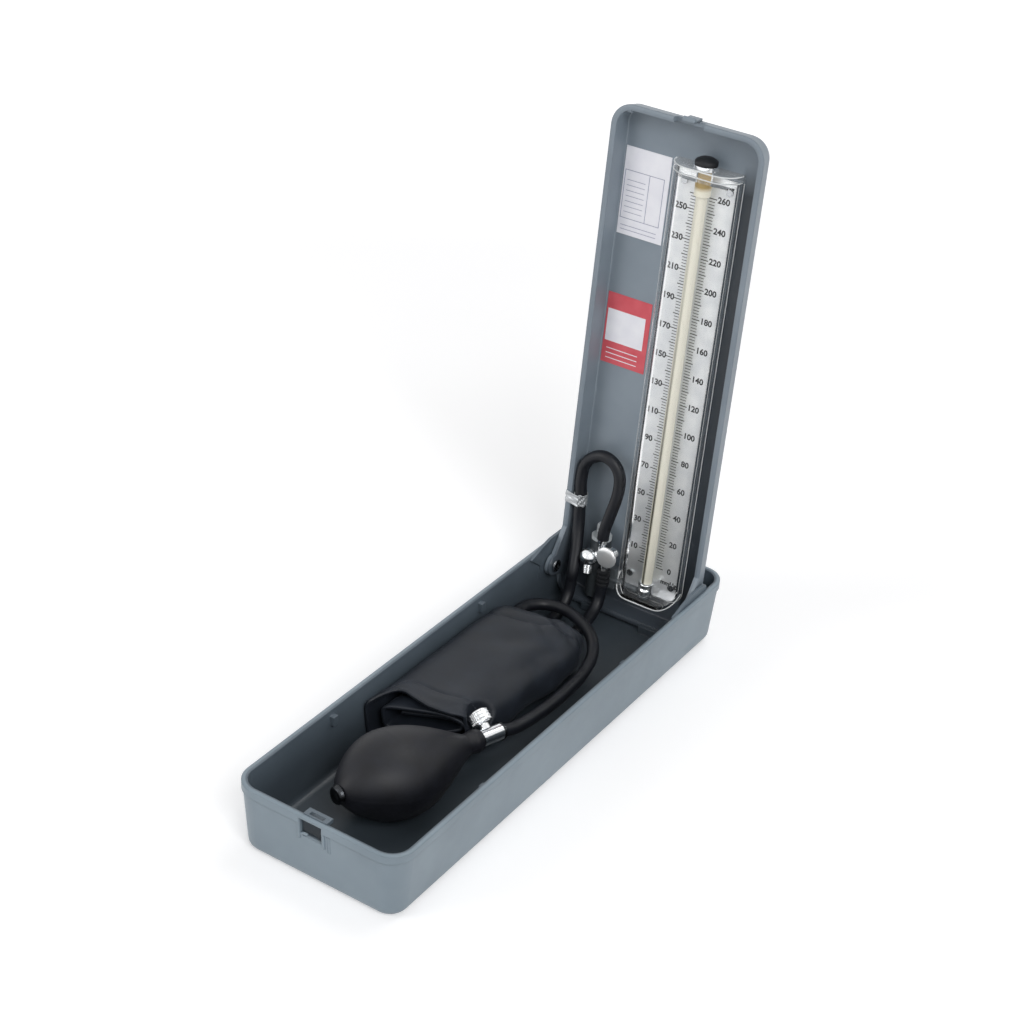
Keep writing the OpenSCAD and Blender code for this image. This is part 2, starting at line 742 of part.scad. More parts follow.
cuff_front_w = cuff_front_share * case_w;
cuff_rear_w = cuff_rear_share * case_w;
cuff_front_mid = [-19.2 * case_w / drawn_w, -48 * case_l / drawn_l];
cuff_rear_mid = [-15.6 * case_w / drawn_w, 77 * case_l / drawn_l];
cuff_front_slant = 21;
cuff_rear_slant = 8;
cuff_low = floor_z + 0.4;
cuff_corner = 8;

// --- hoses: a round tube swept along hand-placed points ---
hose_sides = 10;
function unit(v) = v / norm(v);
function between(p0, p1, p2, p3, t) = 0.5 * (2 * p1 + (p2 - p0) * t
    + (2 * p0 - 5 * p1 + 4 * p2 - p3) * t * t + (3 * p1 - p0 - 3 * p2 + p3) * t * t * t);
function smooth(p, n) = [
    for (i = [0:len(p) - 2], k = [0:n - 1])
        between(p[max(i - 1, 0)], p[i], p[i + 1], p[min(i + 2, len(p) - 1)], k / n),
    p[len(p) - 1]
];
// Direction of the route at each ring, with given directions at its two ends
function headings(p, d0, d1) = [
    for (i = [0:len(p) - 1]) i == 0 ? d0 : i == len(p) - 1 ? d1 : unit(p[i + 1] - p[i - 1])
];
// One normal at each ring, carried along without twist
function carried(h, start) = [
    for (i = 0, n = unit(start - (start * h[0]) * h[0]); i < len(h);
         i = i + 1, n = i < len(h) ? unit(n - (n * h[i]) * h[i]) : n) n
];

module hose(p, d0, d1, d, steps) {
    q = smooth(p, steps);
    h = headings(q, unit(d0), unit(d1));
    n = carried(h, [0.83, 0.21, 0.52]);
    rings = [for (i = [0:len(q) - 1], k = [0:hose_sides - 1])
        q[i] + d / 2 * (cos(360 * k / hose_sides) * n[i]
            + sin(360 * k / hose_sides) * cross(h[i], n[i]))];
    last = len(q) - 1;
    walls = [for (i = [0:last - 1], k = [0:hose_sides - 1]) let (
        a = i * hose_sides + k, b = i * hose_sides + (k + 1) % hose_sides)
        each [[a, a + hose_sides, b], [b, a + hose_sides, b + hose_sides]]];
    ends = [[for (k = [0:hose_sides - 1]) k],
            [for (k = [hose_sides - 1:-1:0]) last * hose_sides + k]];
    polyhedron(rings, concat(walls, ends));
}

// Where the left hose crosses the hinge line, in the lid's frame
cross_point = [strap_x + 7.3, 0, -1.5];
// The arch in the lid, from the hinge line up and over to the cock's barb
arch_points = [
    cross_point, [strap_x + 4.8, 12, panel_n + 15.5], [strap_x + 1.7, 26, panel_n + 10.5],
    [strap_x + 0.3, 39, strap_n], [strap_x - 0.2, 49, strap_n], [strap_x - 1, 59, strap_n],
    [strap_x + 0.1, 69, strap_n], [strap_x + 5.1, 76, strap_n],
    [(strap_x + barb_x) / 2 + 1.55, 79.6, strap_n], [barb_x - 1.8, 77.4, strap_n],
    [barb_x + 3.4, 70, strap_n], [barb_x + 4.4, 59, panel_n + 10.5],
    [barb_x + 2.2, 44, panel_n + 12.5], [barb_x + 0.2, 33, panel_n + 13.9],
    [barb_x, barb_top, bar_n]
];
module arch_hose() {
    color(black_rubber) on_lid()
        hose(arch_points, [-0.1, 1, -0.35], [0, -1, 0], hose_d, 2);
}

cross_base = from_lid(cross_point);
cross_dir = from_lid([-0.1, 1, -0.35]) - from_lid([0, 0, 0]);

// Place and direction at which a hose meets the cuff's rear face
function cuff_face(x, z) =
    [x, cuff_rear_mid.y + (x - cuff_rear_mid.x + cuff_corner / 2) * tan(cuff_rear_slant) + 0.06, z];
cuff_in_dir = [sin(cuff_rear_slant), -cos(cuff_rear_slant), 0];

// The bulb's hose, from the release valve round the cuff to its left rear corner
bulb_hose_points = [
    hose_from, each [for (p = [[21.4, -14, 21.2], [23.6, 0.6, 20.5], [24.9, 19.1, 20],
        [24.6, 40.8, 20], [22.3, 61.6, 20], [16.3, 80, 20], [5.5, 95.1, 20],
        [-9.6, 105.7, 19.6], [-24, 111, 19], [-36, 108.8, 19], [-43.2, 100.5, 20],
        [-44.8, 89, 20.6]]) laid(p)],
    cuff_face(laid([-44.5, 0, 0]).x, 21)
];
module bulb_hose() {
    color(black_rubber) hose(bulb_hose_points, bulb_dir, cuff_in_dir, hose_d, 2);
}

// The left hose, from the hinge line down and under the bulb's hose to the cuff
leg_hose_points = [
    cross_base, each [for (p = [[-0.2, 0.4, 25], [0, -1.8, 17.6], [0.4, -7, 11.6],
        [0.8, -14.2, 8.6], [1.2, -23.6, 7.6]]) [cross_base.x + p.x, hinge_y + p.y, p.z]],
    cuff_face(cross_base.x + 1.8, 7.8) + [0, 23.7, 0],
    cuff_face(cross_base.x + 2.6, 10) + [0, 12.7, 0],
    cuff_face(cross_base.x + 3, 12)
];
module leg_hose() {
    color(black_rubber) hose(leg_hose_points, -cross_dir, cuff_in_dir, hose_d, 2);
}

// The cuff's hose, from the coupling down and under the bulb's hose to the cuff
coupling_base = from_lid([port_x, -6, bar_n]);
coupling_dir = from_lid([0, -1, 0]) - from_lid([0, 0, 0]);
cuff_hose_points = [
    coupling_base, each [for (p = [[-0.1, -1.8, 17], [0.3, -6.8, 11], [0.9, -15.4, 8],
        [1.7, -26.4, 7.5]]) [port_x + p.x, coupling_base.y + p.y, p.z]],
    cuff_face(port_x + 2.5, 7.8) + [0, 24.5, 0],
    cuff_face(port_x + 3.1, 10) + [0, 12.5, 0],
    cuff_face(port_x + 3.5, 12)
];
module cuff_hose() {
    color(black_rubber)
        hose(cuff_hose_points, coupling_dir, cuff_in_dir, hose_d, 2);
}

// --- cuff: a flat roll with slanting ends, hollow at the mouth ---

// The roll's cross-section at a fraction t of its length, shrunk on all sides
module roll_end(t, shrink) {
    // the right rear corner is drawn in over the last eighth
    cut = cuff_corner * max(0, (t - 0.88) / 0.12);
    mid = cuff_front_mid + t * (cuff_rear_mid - cuff_front_mid) - [cut / 2, 0];
    slant = cuff_front_slant + t * (cuff_rear_slant - cuff_front_slant);
    w = cuff_front_w + t * (cuff_rear_w - cuff_front_w) - cut;
    translate([mid.x, mid.y, cuff_low + cuff_h / 2]) rotate([0, 0, slant]) rotate([90, 0, 0])
        for (sx = [-1, 1]) translate([sx * (w - cuff_h) / 2 / cos(slant), 0, 0])
            cylinder(d = cuff_h - 2 * shrink, h = eps, center = true, $fn = hull_fn);
}

module roll(t0, t1, shrink) {
    hull() {
        roll_end(t0, shrink);
        roll_end(0.88, shrink);
        roll_end(t1, shrink);
    }
}

module cuff() {
    color("#2b2e33") difference() {
        roll(0, 1, 0);
        roll(-0.05, 0.92, cuff_t);
        // hollow that the release valve presses into the roll's front corner
        on_screw() cylinder(d = thumb_d + 2.4, h = 40);
        on_bulb() translate([0, 0, bulb_l - 6]) cylinder(d = barrel_d + 2, h = barrel_l + 12);
    }
}

module bladder() {
    color("#3a3532") intersection() {
        roll(0.25, 0.9, cuff_t + soft_gap);
        translate([-case_w, -case_l, cuff_low + cuff_t]) cube([2 * case_w, 2 * case_l, bladder_t]);
    }
}

// --- bulb and its valves, along one slanting axis ---
// Puts +Z along the bulb's axis, starting at its inlet end
module on_bulb() {
    translate([bulb_tail.x, bulb_tail.y, bulb_tail_z]) rotate([0, 0, -bulb_turn])
        rotate([-90 - bulb_droop, 0, 0]) children();
}

// Radius of the bulb at distance t from its inlet end: a quarter of an oval up to
// its widest place, then a long taper into the neck
function bulb_r(t) = let (u = t / bulb_l, v = min((u - bulb_widest) / (0.9 - bulb_widest), 1))
    u < bulb_widest
        ? max(neck_d / 2, bulb_d / 2 * pow(sin(90 * u / bulb_widest), 0.6))
        : neck_d / 2 + (bulb_d - neck_d) / 2 * pow(cos(90 * v), 1.1);
bulb_steps = 25;

module bulb() {
    color(black_rubber) on_bulb() difference() {
        rotate_extrude() polygon(concat([[0, 0]],
            [for (i = [0:bulb_steps]) [bulb_r(bulb_l * i / bulb_steps), bulb_l * i / bulb_steps]],
            [[0, bulb_l]]));
        rotate_extrude() polygon(concat([[0, 8]],
            [for (i = [2:bulb_steps - 2]) let (t = bulb_l * i / bulb_steps)
                [max(bulb_r(t) - bulb_t, 3.5), t]],
            [[0, bulb_l - 8]]));
        translate([0, 0, -1]) cylinder(d = inlet_d + 2 * seat_gap, h = 12);
        translate([0, 0, bulb_l - 12]) cylinder(d = spigot_d + 2 * seat_gap, h = 13);
    }
}

module inlet_valve_housing() {
    color(chrome_grey) on_bulb() difference() {
        union() {
            translate([0, 0, -1.5]) cylinder(d = inlet_d + 2.5, h = 1.5);
            translate([0, 0, -eps]) cylinder(d = inlet_d, h = 9);
        }
        translate([0, 0, -2]) cylinder(d = 2, h = 12);
        translate([0, 0, 2]) cylinder(d = ball_d + 2 * 0.25, h = ball_d + 2);
    }
}

module inlet_valve_ball() {
    color(chrome_grey) on_bulb() translate([0, 0, 2 + ball_d / 2 + 0.05]) sphere(d = ball_d);
}

// Release valve: the screw stands across the barrel
module on_screw() {
    on_bulb() translate([0, 0, bulb_l + screw_at]) rotate([0, 0, screw_roll])
        rotate([90, 0, 0]) children();
}

module release_valve_body() {
    color(chrome_grey) difference() {
        union() {
            on_bulb() {
                translate([0, 0, bulb_l]) cylinder(d = barrel_d, h = barrel_l);
                translate([0, 0, bulb_l - 11]) cylinder(d = spigot_d, h = 11 + eps);
                translate([0, 0, bulb_l + barrel_l - eps]) cylinder(d = barrel_d - 1.5, h = 1.5);
            }
            on_screw() cylinder(d = stem_d + 3, h = barrel_d / 2 + 2);
        }
        on_screw() cylinder(d = stem_d + 2 * run_gap, h = 20);
        on_bulb() translate([0, 0, bulb_l - 12]) cylinder(d = 2, h = 12 + screw_at);
    }
}

module release_screw() {
    color(chrome_grey) on_screw() {
        translate([0, 0, 0.5]) cylinder(d = stem_d, h = thumb_at);
        difference() {
            translate([0, 0, thumb_at]) cylinder(d = thumb_d, h = thumb_l);
            for (k = [0:17]) rotate([0, 0, 20 * k])
                translate([thumb_d / 2 + 0.25, 0, thumb_at - 0.5]) cylinder(d = 1, h = thumb_l + 1);
        }
    }
}

base_tray();
hinge_pin_left();
hinge_pin_right();
lid_shell();
latch_hook();
scale_plate();
glass_tube();
mercury_column();
clear_cover();
cover_cap();
tube_cap();
tube_cap_ring();
top_seal();
bottom_seal();
tube_socket();
unit_screws();
reservoir_body();
reservoir_neck();
reservoir_mercury();
transfer_link();
cock_body();
cock_knob();
domed_nut();
hose_coupling();
hose_strap();
white_card();
red_card();
arch_hose();
leg_hose();
bulb_hose();
cuff_hose();
cuff();
bladder();
bulb();
inlet_valve_housing();
inlet_valve_ball();
release_valve_body();
release_screw();
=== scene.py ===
"""Looks of the desk mercury sphygmomanometer: hoses, rolled cuff, bulb, valve, scale and finishes.

Places are millimetres in the frame of the solids until a mesh is made, where they turn to metres.
"""

import bpy
import numpy as np
from mathutils import Matrix


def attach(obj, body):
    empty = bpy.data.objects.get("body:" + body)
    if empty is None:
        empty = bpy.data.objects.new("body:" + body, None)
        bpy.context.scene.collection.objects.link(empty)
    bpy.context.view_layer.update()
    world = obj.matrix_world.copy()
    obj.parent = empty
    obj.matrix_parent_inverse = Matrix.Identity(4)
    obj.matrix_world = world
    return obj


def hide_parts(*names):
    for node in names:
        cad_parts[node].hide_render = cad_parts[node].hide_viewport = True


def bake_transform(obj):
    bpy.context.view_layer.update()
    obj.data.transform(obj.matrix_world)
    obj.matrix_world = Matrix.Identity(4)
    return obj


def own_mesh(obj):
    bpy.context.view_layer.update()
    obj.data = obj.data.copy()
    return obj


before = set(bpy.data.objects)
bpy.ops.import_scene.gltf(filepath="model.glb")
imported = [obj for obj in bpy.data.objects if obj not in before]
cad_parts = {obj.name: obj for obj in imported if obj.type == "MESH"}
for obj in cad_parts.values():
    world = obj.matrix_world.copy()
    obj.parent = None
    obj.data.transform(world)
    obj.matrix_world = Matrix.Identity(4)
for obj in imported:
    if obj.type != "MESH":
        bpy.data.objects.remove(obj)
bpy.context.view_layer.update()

MM = 0.001

# --- places that the solids have too, in millimetres; N is a distance out of the lid from its hinge ---
HINGE_Y = 133.6
HINGE_Z = 32.0
LEAN = np.radians(4)
CASE_W, CASE_L, CASE_H = 112.0, 350.0, 45.0
BASE_CORNER = 15.0
WALL = 3.5
HALF_WALL = WALL / 2
FLOOR_Z = 3.5
# the tray's walls lean in by DRAFT from the rim to the foot, under a band that stands out by BAND_PROUD
DRAFT, BAND_PROUD = 3.0, 0.5
BAND_LOW = 40.0
LID_HALF_W = 50.25
LID_TOP, LID_TAIL = 304.4, -26.0
LID_CORNER = 14.0
RIM_N, PANEL_N = -10.0, -22.5
PLATE_N = -20.0
UNIT_X = 12.5
TUBE_N = -14.5
UNIT_TOP = 274.0
CAP_T = 4.0
BAR_N = -8.2
KNOB_AT = (-12.5, 17.2)
NUT_AT = (-26.0, 11.7)
COUPLING_X = -15.5
HOSE_D = 7.6


def on_lid(points):
    """Lid frame to shared frame: x across, s up the lid from the hinge axis, n out of the lid."""
    x, s, n = np.moveaxis(np.asarray(points, float), -1, 0)
    return np.stack([x, HINGE_Y + s * np.sin(LEAN) - n * np.cos(LEAN),
                     HINGE_Z + s * np.cos(LEAN) + n * np.sin(LEAN)], -1)


UP_LID = on_lid([0, 1, 0]) - on_lid([0, 0, 0])
OUT_OF_LID = on_lid([0, 0, 1]) - on_lid([0, 0, 0])


# ---------------------------------------------------------------- mesh helpers
def unit(v):
    """Vectors of length one along the last axis."""
    v = np.asarray(v, float)
    return v / np.linalg.norm(v, axis=-1, keepdims=True)


def ease(x):
    """Smooth step: 3x^2 - 2x^3 between 0 and 1, level outside."""
    x = np.clip(x, 0, 1)
    return x * x * (3 - 2 * x)


def curve_through(points, steps):
    """Uniform Catmull-Rom curve through the points, steps per span, the rule the solids' hoses follow."""
    p = np.asarray(points, float)
    p = np.vstack([p[:1], p, p[-1:]])
    t = (np.arange(steps) / steps)[None, :, None]
    p0, p1, p2, p3 = (p[k:len(p) - 3 + k, None] for k in range(4))
    q = 0.5 * (2 * p1 + (p2 - p0) * t + (2 * p0 - 5 * p1 + 4 * p2 - p3) * t ** 2
               + (3 * p1 - p0 - 3 * p2 + p3) * t ** 3)
    return np.vstack([q.reshape(-1, 3), p[-1:]])


def grid_faces(rows, cols, wrap_rows, wrap_cols):
    """Four-sided faces of a grid of points whose number is row * cols + col."""
    i, j = np.meshgrid(np.arange(rows if wrap_rows else rows - 1),
                       np.arange(cols if wrap_cols else cols - 1), indexing="ij")
    i, j, i2, j2 = (a.ravel() for a in (i, j, (i + 1) % rows, (j + 1) % cols))
    return np.stack([i * cols + j, i * cols + j2, i2 * cols + j2, i2 * cols + j], -1)


def mesh_from(name, verts, faces, uv=None, sharp=40):
    """A smooth-shaded mesh from points in millimetres; edges sharper than the angle stay crisp."""
    mesh = bpy.data.meshes.new(name)
    mesh.from_pydata((np.asarray(verts) * MM).tolist(), [], faces)
    if uv is not None:
        layer = mesh.uv_layers.new(name="UVMap")
        at = np.empty(len(mesh.loops), np.int32)
        mesh.loops.foreach_get("vertex_index", at)
        layer.data.foreach_set("uv", np.asarray(uv, np.float32)[at].ravel())
    mesh.polygons.foreach_set("use_smooth", np.ones(len(mesh.polygons), bool))
    mesh.set_sharp_from_angle(angle=np.radians(sharp))
    mesh.validate()
    mesh.update()
    return mesh


def grid_mesh(name, points, uv=None, sharp=40, wrap=False):
    """A mesh of a grid of points, open at its edges or, with wrap, closed both ways."""
    faces = grid_faces(*points.shape[:2], wrap, wrap).tolist()
    return mesh_from(name, points.reshape(-1, 3), faces, uv, sharp)


def closed_skin(name, rings, uv=None, sharp=40):
    """A tube-like skin: each ring closes on itself, and a fan to its middle closes each end.
    Rings run along the direction of travel and turn anticlockwise about it, so faces look outwards."""
    rows, cols = rings.shape[:2]
    faces = grid_faces(rows, cols, False, True).tolist()
    verts = np.concatenate([rings.reshape(-1, 3), rings[:1].mean(1), rings[-1:].mean(1)])
    k = np.arange(cols)
    start, end = rows * cols, rows * cols + 1
    faces += np.stack([np.full(cols, start), (k + 1) % cols, k], -1).tolist()
    last = (rows - 1) * cols
    faces += np.stack([np.full(cols, end), last + k, last + (k + 1) % cols], -1).tolist()
    if uv is not None:
        uv = np.concatenate([uv.reshape(-1, 2), uv[:1].mean(1), uv[-1:].mean(1)])
    return mesh_from(name, verts, faces, uv, sharp)


def joined(name, meshes):
    """One mesh out of several; their points are metres already."""
    verts, faces, base = [], [], 0
    for mesh in meshes:
        co = np.empty(len(mesh.vertices) * 3, np.float32)
        mesh.vertices.foreach_get("co", co)
        verts.append(co.reshape(-1, 3) / MM)
        faces += [[v + base for v in face.vertices] for face in mesh.polygons]
        base += len(mesh.vertices)
        bpy.data.meshes.remove(mesh)
    return mesh_from(name, np.concatenate(verts), faces)


def sweep(name, route, radius, side, sides=20, uv=True):
    """A round tube along a route. Ring k is the route's point plus radius times
    (cos a * e1 + sin a * e2), where e1 is `side` made square to the heading and e2 = heading x e1."""
    route = np.asarray(route, float)
    heading = unit(np.gradient(route, axis=0))
    side = np.broadcast_to(np.asarray(side, float), route.shape)
    e1 = unit(side - (side * heading).sum(-1, keepdims=True) * heading)
    e2 = np.cross(heading, e1)
    a = np.linspace(0, 2 * np.pi, sides, endpoint=False)[None, :, None]
    r = np.broadcast_to(np.asarray(radius, float), (len(route),))[:, None, None]
    rings = route[:, None] + r * (np.cos(a) * e1[:, None] + np.sin(a) * e2[:, None])
    along = np.concatenate([[0], np.cumsum(np.linalg.norm(np.diff(route, axis=0), axis=-1))])
    chart = np.stack(np.broadcast_arrays(along[:, None], a[:, :, 0] * float(np.mean(radius))), -1)
    return closed_skin(name, rings, chart * MM if uv else None)


def turned(name, profile, origin, axis, sides=56, ripple=None):
    """A lathe shape: each profile row is (distance along the axis, radius).
    ripple(distance, angle) adds to the radius, for knurls and grips."""
    t, r = np.asarray(profile, float).T
    axis = unit(axis)
    e1 = unit(np.cross(axis, [0.31, 0.17, 0.93]))
    e2 = np.cross(axis, e1)
    a = np.linspace(0, 2 * np.pi, sides, endpoint=False)[None, :]
    rr = np.broadcast_to(r[:, None], (len(r), sides))
    if ripple is not None:
        rr = rr + ripple(t[:, None], a)
    rings = (np.asarray(origin, float) + t[:, None, None] * axis
             + rr[..., None] * (np.cos(a)[..., None] * e1 + np.sin(a)[..., None] * e2))
    return closed_skin(name, rings, sharp=50)


def boxes(name, centres, halves, frame_fn=None):
    """Many small boxes as one mesh: corner = centre + sign * half size, then frame_fn places them."""
    centres, halves = np.asarray(centres, float), np.asarray(halves, float)
    signs = np.array([[x, y, z] for x in (-1, 1) for y in (-1, 1) for z in (-1, 1)], float)
    corners = (centres[:, None] + signs[None] * halves[:, None]).reshape(-1, 3)
    sides = np.array([[0, 1, 3, 2], [4, 6, 7, 5], [0, 4, 5, 1], [2, 3, 7, 6], [0, 2, 6, 4], [1, 5, 7, 3]])
    faces = (sides[None] + 8 * np.arange(len(centres))[:, None, None]).reshape(-1, 4)
    return mesh_from(name, frame_fn(corners) if frame_fn else corners, faces.tolist())


def place(mesh, finish, body, slot, *replaced):
    """Makes the object of a mesh, gives it its finish and its body, and lets it stand for CAD nodes.
    A piece without a body is one that blends between two."""
    mesh.materials.append(finish)
    piece = bpy.data.objects.new(mesh.name, mesh)
    bpy.context.scene.collection.objects.link(piece)
    if body:
        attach(piece, body)
    if replaced:
        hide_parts(*replaced)
    return piece


def thicken(piece, thickness):
    """Gives a sheet its thickness in millimetres, half to each side."""
    thick = piece.modifiers.new("thickness", "SOLIDIFY")
    thick.thickness = thickness * MM
    thick.offset = 0


def standing(across, upright, back, at):
    """The matrix of a camera or lamp at a place in metres, from its three directions."""
    turn = np.eye(4)
    turn[:3] = np.stack([across, upright, back, at], -1)
    return Matrix(turn.tolist())


# ---------------------------------------------------------------- material helpers


def linear(hex_colour):
    """An sRGB hex colour as linear red, green, blue and alpha."""
    c = np.array([int(hex_colour[k:k + 2], 16) for k in (1, 3, 5)]) / 255
    c = np.where(c <= 0.04045, c / 12.92, ((c + 0.055) / 1.055) ** 2.4)
    return (*c.tolist(), 1.0)


def per_mm(size):
    """Texture scale on Object coordinates whose features are about this many millimetres across."""
    return 1000.0 / size


def add(tree, kind, inputs=None, **settings):
    """Adds a shader node; inputs maps a socket's name or number to a value or to another socket."""
    made = tree.nodes.new("ShaderNode" + kind)
    for key, value in settings.items():
        setattr(made, key, value)
    for key, value in (inputs or {}).items():
        if isinstance(value, bpy.types.NodeSocket):
            tree.links.new(value, made.inputs[key])
        else:
            made.inputs[key].default_value = value
    return made


def ramp(tree, factor, stops):
    """A colour ramp from (place, hex colour) stops."""
    made = add(tree, "ValToRGB", {0: factor})
    line = made.color_ramp.elements
    while len(line) < len(stops):
        line.new(0.5)
    for element, (at, colour) in zip(line, stops):
        element.position = at
        element.color = linear(colour)
    return made.outputs[0]


def material(name):
    """An empty node material and its tree, output and object coordinates."""
    made = bpy.data.materials.new(name)
    made.use_nodes = True
    tree = made.node_tree
    tree.nodes.clear()
    out = add(tree, "OutputMaterial")
    where = add(tree, "TexCoord").outputs["Object"]
    return made, tree, out, where


def noise(tree, where, size, detail=2.0, roughness=0.5):
    """Noise whose blotches are `size` millimetres across."""
    return add(tree, "TexNoise", {"Vector": where, "Scale": per_mm(size), "Detail": detail,
                                  "Roughness": roughness}).outputs["Fac"]


def span(tree, value, start, end, first=0.0, last=1.0):
    """Maps start..end to first..last, and stays level outside."""
    return add(tree, "MapRange", {0: value, 1: start, 2: end, 3: first, 4: last}).outputs[0]


def between(tree, factor, low, high):
    """Maps 0..1 to low..high."""
    return span(tree, factor, 0.0, 1.0, low, high)


def calc(tree, operation, first, second=0.0):
    """The result of a math node on numbers or sockets."""
    return add(tree, "Math", {0: first, 1: second}, operation=operation).outputs[0]


def tinted(tree, share, tone, tint):
    """A tone multiplied by a tint, as far as the share says."""
    return add(tree, "MixRGB", {0: share, 1: tone, 2: tint}, blend_type="MULTIPLY").outputs[0]


def worn_edges(tree, radius):
    """A normal that rounds edges by a radius in millimetres, as wear and plating do."""
    return add(tree, "Bevel", {"Radius": radius * MM}, samples=4).outputs[0]


def bumped(tree, height, strength, depth=0.2, normal=None):
    """A normal with a bump `depth` millimetres high on top of another one."""
    inputs = {"Height": height, "Strength": strength, "Distance": depth * MM}
    if normal is not None:
        inputs["Normal"] = normal
    return add(tree, "Bump", inputs).outputs[0]


def principled(made, tree, out, inputs):
    """Ends a material in one Principled shader."""
    shader = add(tree, "BsdfPrincipled", inputs)
    tree.links.new(shader.outputs[0], out.inputs[0])
    return made


# half the width, in the middle of a wall, over which the tray's painted inner shade ends
PAINTED_SHADE_EDGE = 0.4
# the lid's inner side begins at this depth and ends this far from its middle, each give or take a little
LID_INNER_N, LID_INNER_X = (-23.8, -23.2), (48.0, 48.4)
# colour of the painted shade in the gap to the right of the clear cover
GAP_PAINTED_SHADE = "#666b71"


def tray_inside(tree, where):
    """1 on the tray's inner faces, 0 outside: the distance inside a rounded oblong that leans in with the
    walls, compared with half a wall."""
    split = add(tree, "SeparateXYZ", {0: where}).outputs
    gaps = [calc(tree, "SUBTRACT", calc(tree, "ABSOLUTE", split[axis]), (half - BASE_CORNER) * MM)
            for axis, half in (("X", CASE_W / 2), ("Y", CASE_L / 2))]
    past = [calc(tree, "MAXIMUM", gap) for gap in gaps]
    far = add(tree, "CombineXYZ", {0: past[0], 1: past[1]}).outputs[0]
    far = add(tree, "VectorMath", {0: far}, operation="LENGTH").outputs["Value"]
    near = calc(tree, "MINIMUM", calc(tree, "MAXIMUM", gaps[0], gaps[1]))
    lean = span(tree, split["Z"], 0.0, CASE_H * MM, (BAND_PROUD + DRAFT) * MM, BAND_PROUD * MM)
    depth = calc(tree, "ADD", calc(tree, "ADD", far, near), lean)
    edge = BASE_CORNER - HALF_WALL
    inside = span(tree, depth, (edge - PAINTED_SHADE_EDGE) * MM, (edge + PAINTED_SHADE_EDGE) * MM, 1.0, 0.0)
    above_underside = span(tree, split["Z"], 1.5 * MM, 2.0 * MM)
    return calc(tree, "MULTIPLY", inside, above_underside)


def lid_masks(tree, where):
    """Two shares on the lid: 1 on its inner side, and 1 in the narrow gap to the right of the clear cover,
    where painted shade makes the moulding darker. Depth is measured along the direction out of the lid."""
    def product(share, limits):
        for value, (start, end), first, last in limits:
            share = calc(tree, "MULTIPLY", share, span(tree, value, start * MM, end * MM, first, last))
        return share

    split = add(tree, "SeparateXYZ", {0: where}).outputs
    from_hinge = add(tree, "VectorMath", {0: where, 1: (0.0, HINGE_Y * MM, HINGE_Z * MM)},
                     operation="SUBTRACT").outputs[0]
    depth = add(tree, "VectorMath", {0: from_hinge, 1: tuple(OUT_OF_LID)},
                operation="DOT_PRODUCT").outputs["Value"]
    sideways = calc(tree, "ABSOLUTE", split["X"])
    inside = product(1.0, [(depth, LID_INNER_N, 0.0, 1.0), (sideways, LID_INNER_X, 1.0, 0.0)])
    # painted shade: the narrow gap to the right of the clear cover, where shade falls
    gap = product(inside, [(split["Z"], (296, 314), 1.0, 0.0), (split["X"], (32.5, 34.5), 0.0, 1.0),
                           (split["X"], (46.8, 47.1), 1.0, 0.0), (depth, (-14.0, -11.5), 1.0, 0.0)])
    return inside, gap


def moulded_abs(name, colour, darker, lighter, shade):
    """ABS, injection moulded in a lightly grained tool: even colour, broad soft highlight, worn edges.
    `shade` is ("tray" or "lid", low, high, colours): painted shade that makes the inside darker and duller
    towards its floor."""
    made, tree, out, where = material(name)
    tone = ramp(tree, noise(tree, where, 38, 3), [(0.3, darker), (0.5, colour), (0.72, lighter)])
    which, low, high, stops = shade
    height = span(tree, add(tree, "SeparateXYZ", {0: where}).outputs["Z"], low * MM, high * MM)
    inside, gap = (tray_inside(tree, where), None) if which == "tray" else lid_masks(tree, where)
    # painted shade on the inner faces, deepest low down
    tone = tinted(tree, inside, tone, ramp(tree, height, stops))
    if gap is not None:
        # painted shade in the gap to the right of the clear cover
        tone = tinted(tree, gap, tone, linear(GAP_PAINTED_SHADE))
    scuff = noise(tree, where, 9, 4, 0.65)
    return principled(made, tree, out, {
        "Base Color": tone, "Roughness": between(tree, scuff, 0.36, 0.5), "IOR": 1.53,
        "Normal": bumped(tree, noise(tree, where, 0.8, 2), 0.06, normal=worn_edges(tree, 0.7))})


def smooth_rubber(name, colour, lighter, gloss, pore=0.5):
    """Moulded black rubber: near black, a soft grey highlight, a film of dust that dulls it in patches."""
    made, tree, out, where = material(name)
    dust = noise(tree, where, 12, 4, 0.6)
    return principled(made, tree, out, {
        "Base Color": ramp(tree, dust, [(0.35, colour), (0.75, lighter)]),
        "Roughness": between(tree, dust, gloss - 0.06, gloss + 0.08), "IOR": 1.52,
        "Specular IOR Level": 0.3, "Normal": bumped(tree, noise(tree, where, pore, 2), 0.1)})


def plated_metal(name, colour, rough):
    """Polished plating on turned brass: mirror bright, faint grain and finger haze."""
    made, tree, out, where = material(name)
    haze = noise(tree, where, 4, 3)
    return principled(made, tree, out, {
        "Base Color": linear(colour), "Metallic": 1.0,
        "Roughness": between(tree, haze, rough * 0.7, rough * 1.4),
        "Normal": bumped(tree, noise(tree, where, 0.35, 1), 0.04, 0.1, worn_edges(tree, 0.25))})


# the higher, the nearer to edge-on a clear wall has to be before it turns milky
EDGE_NARROWNESS = 4.5


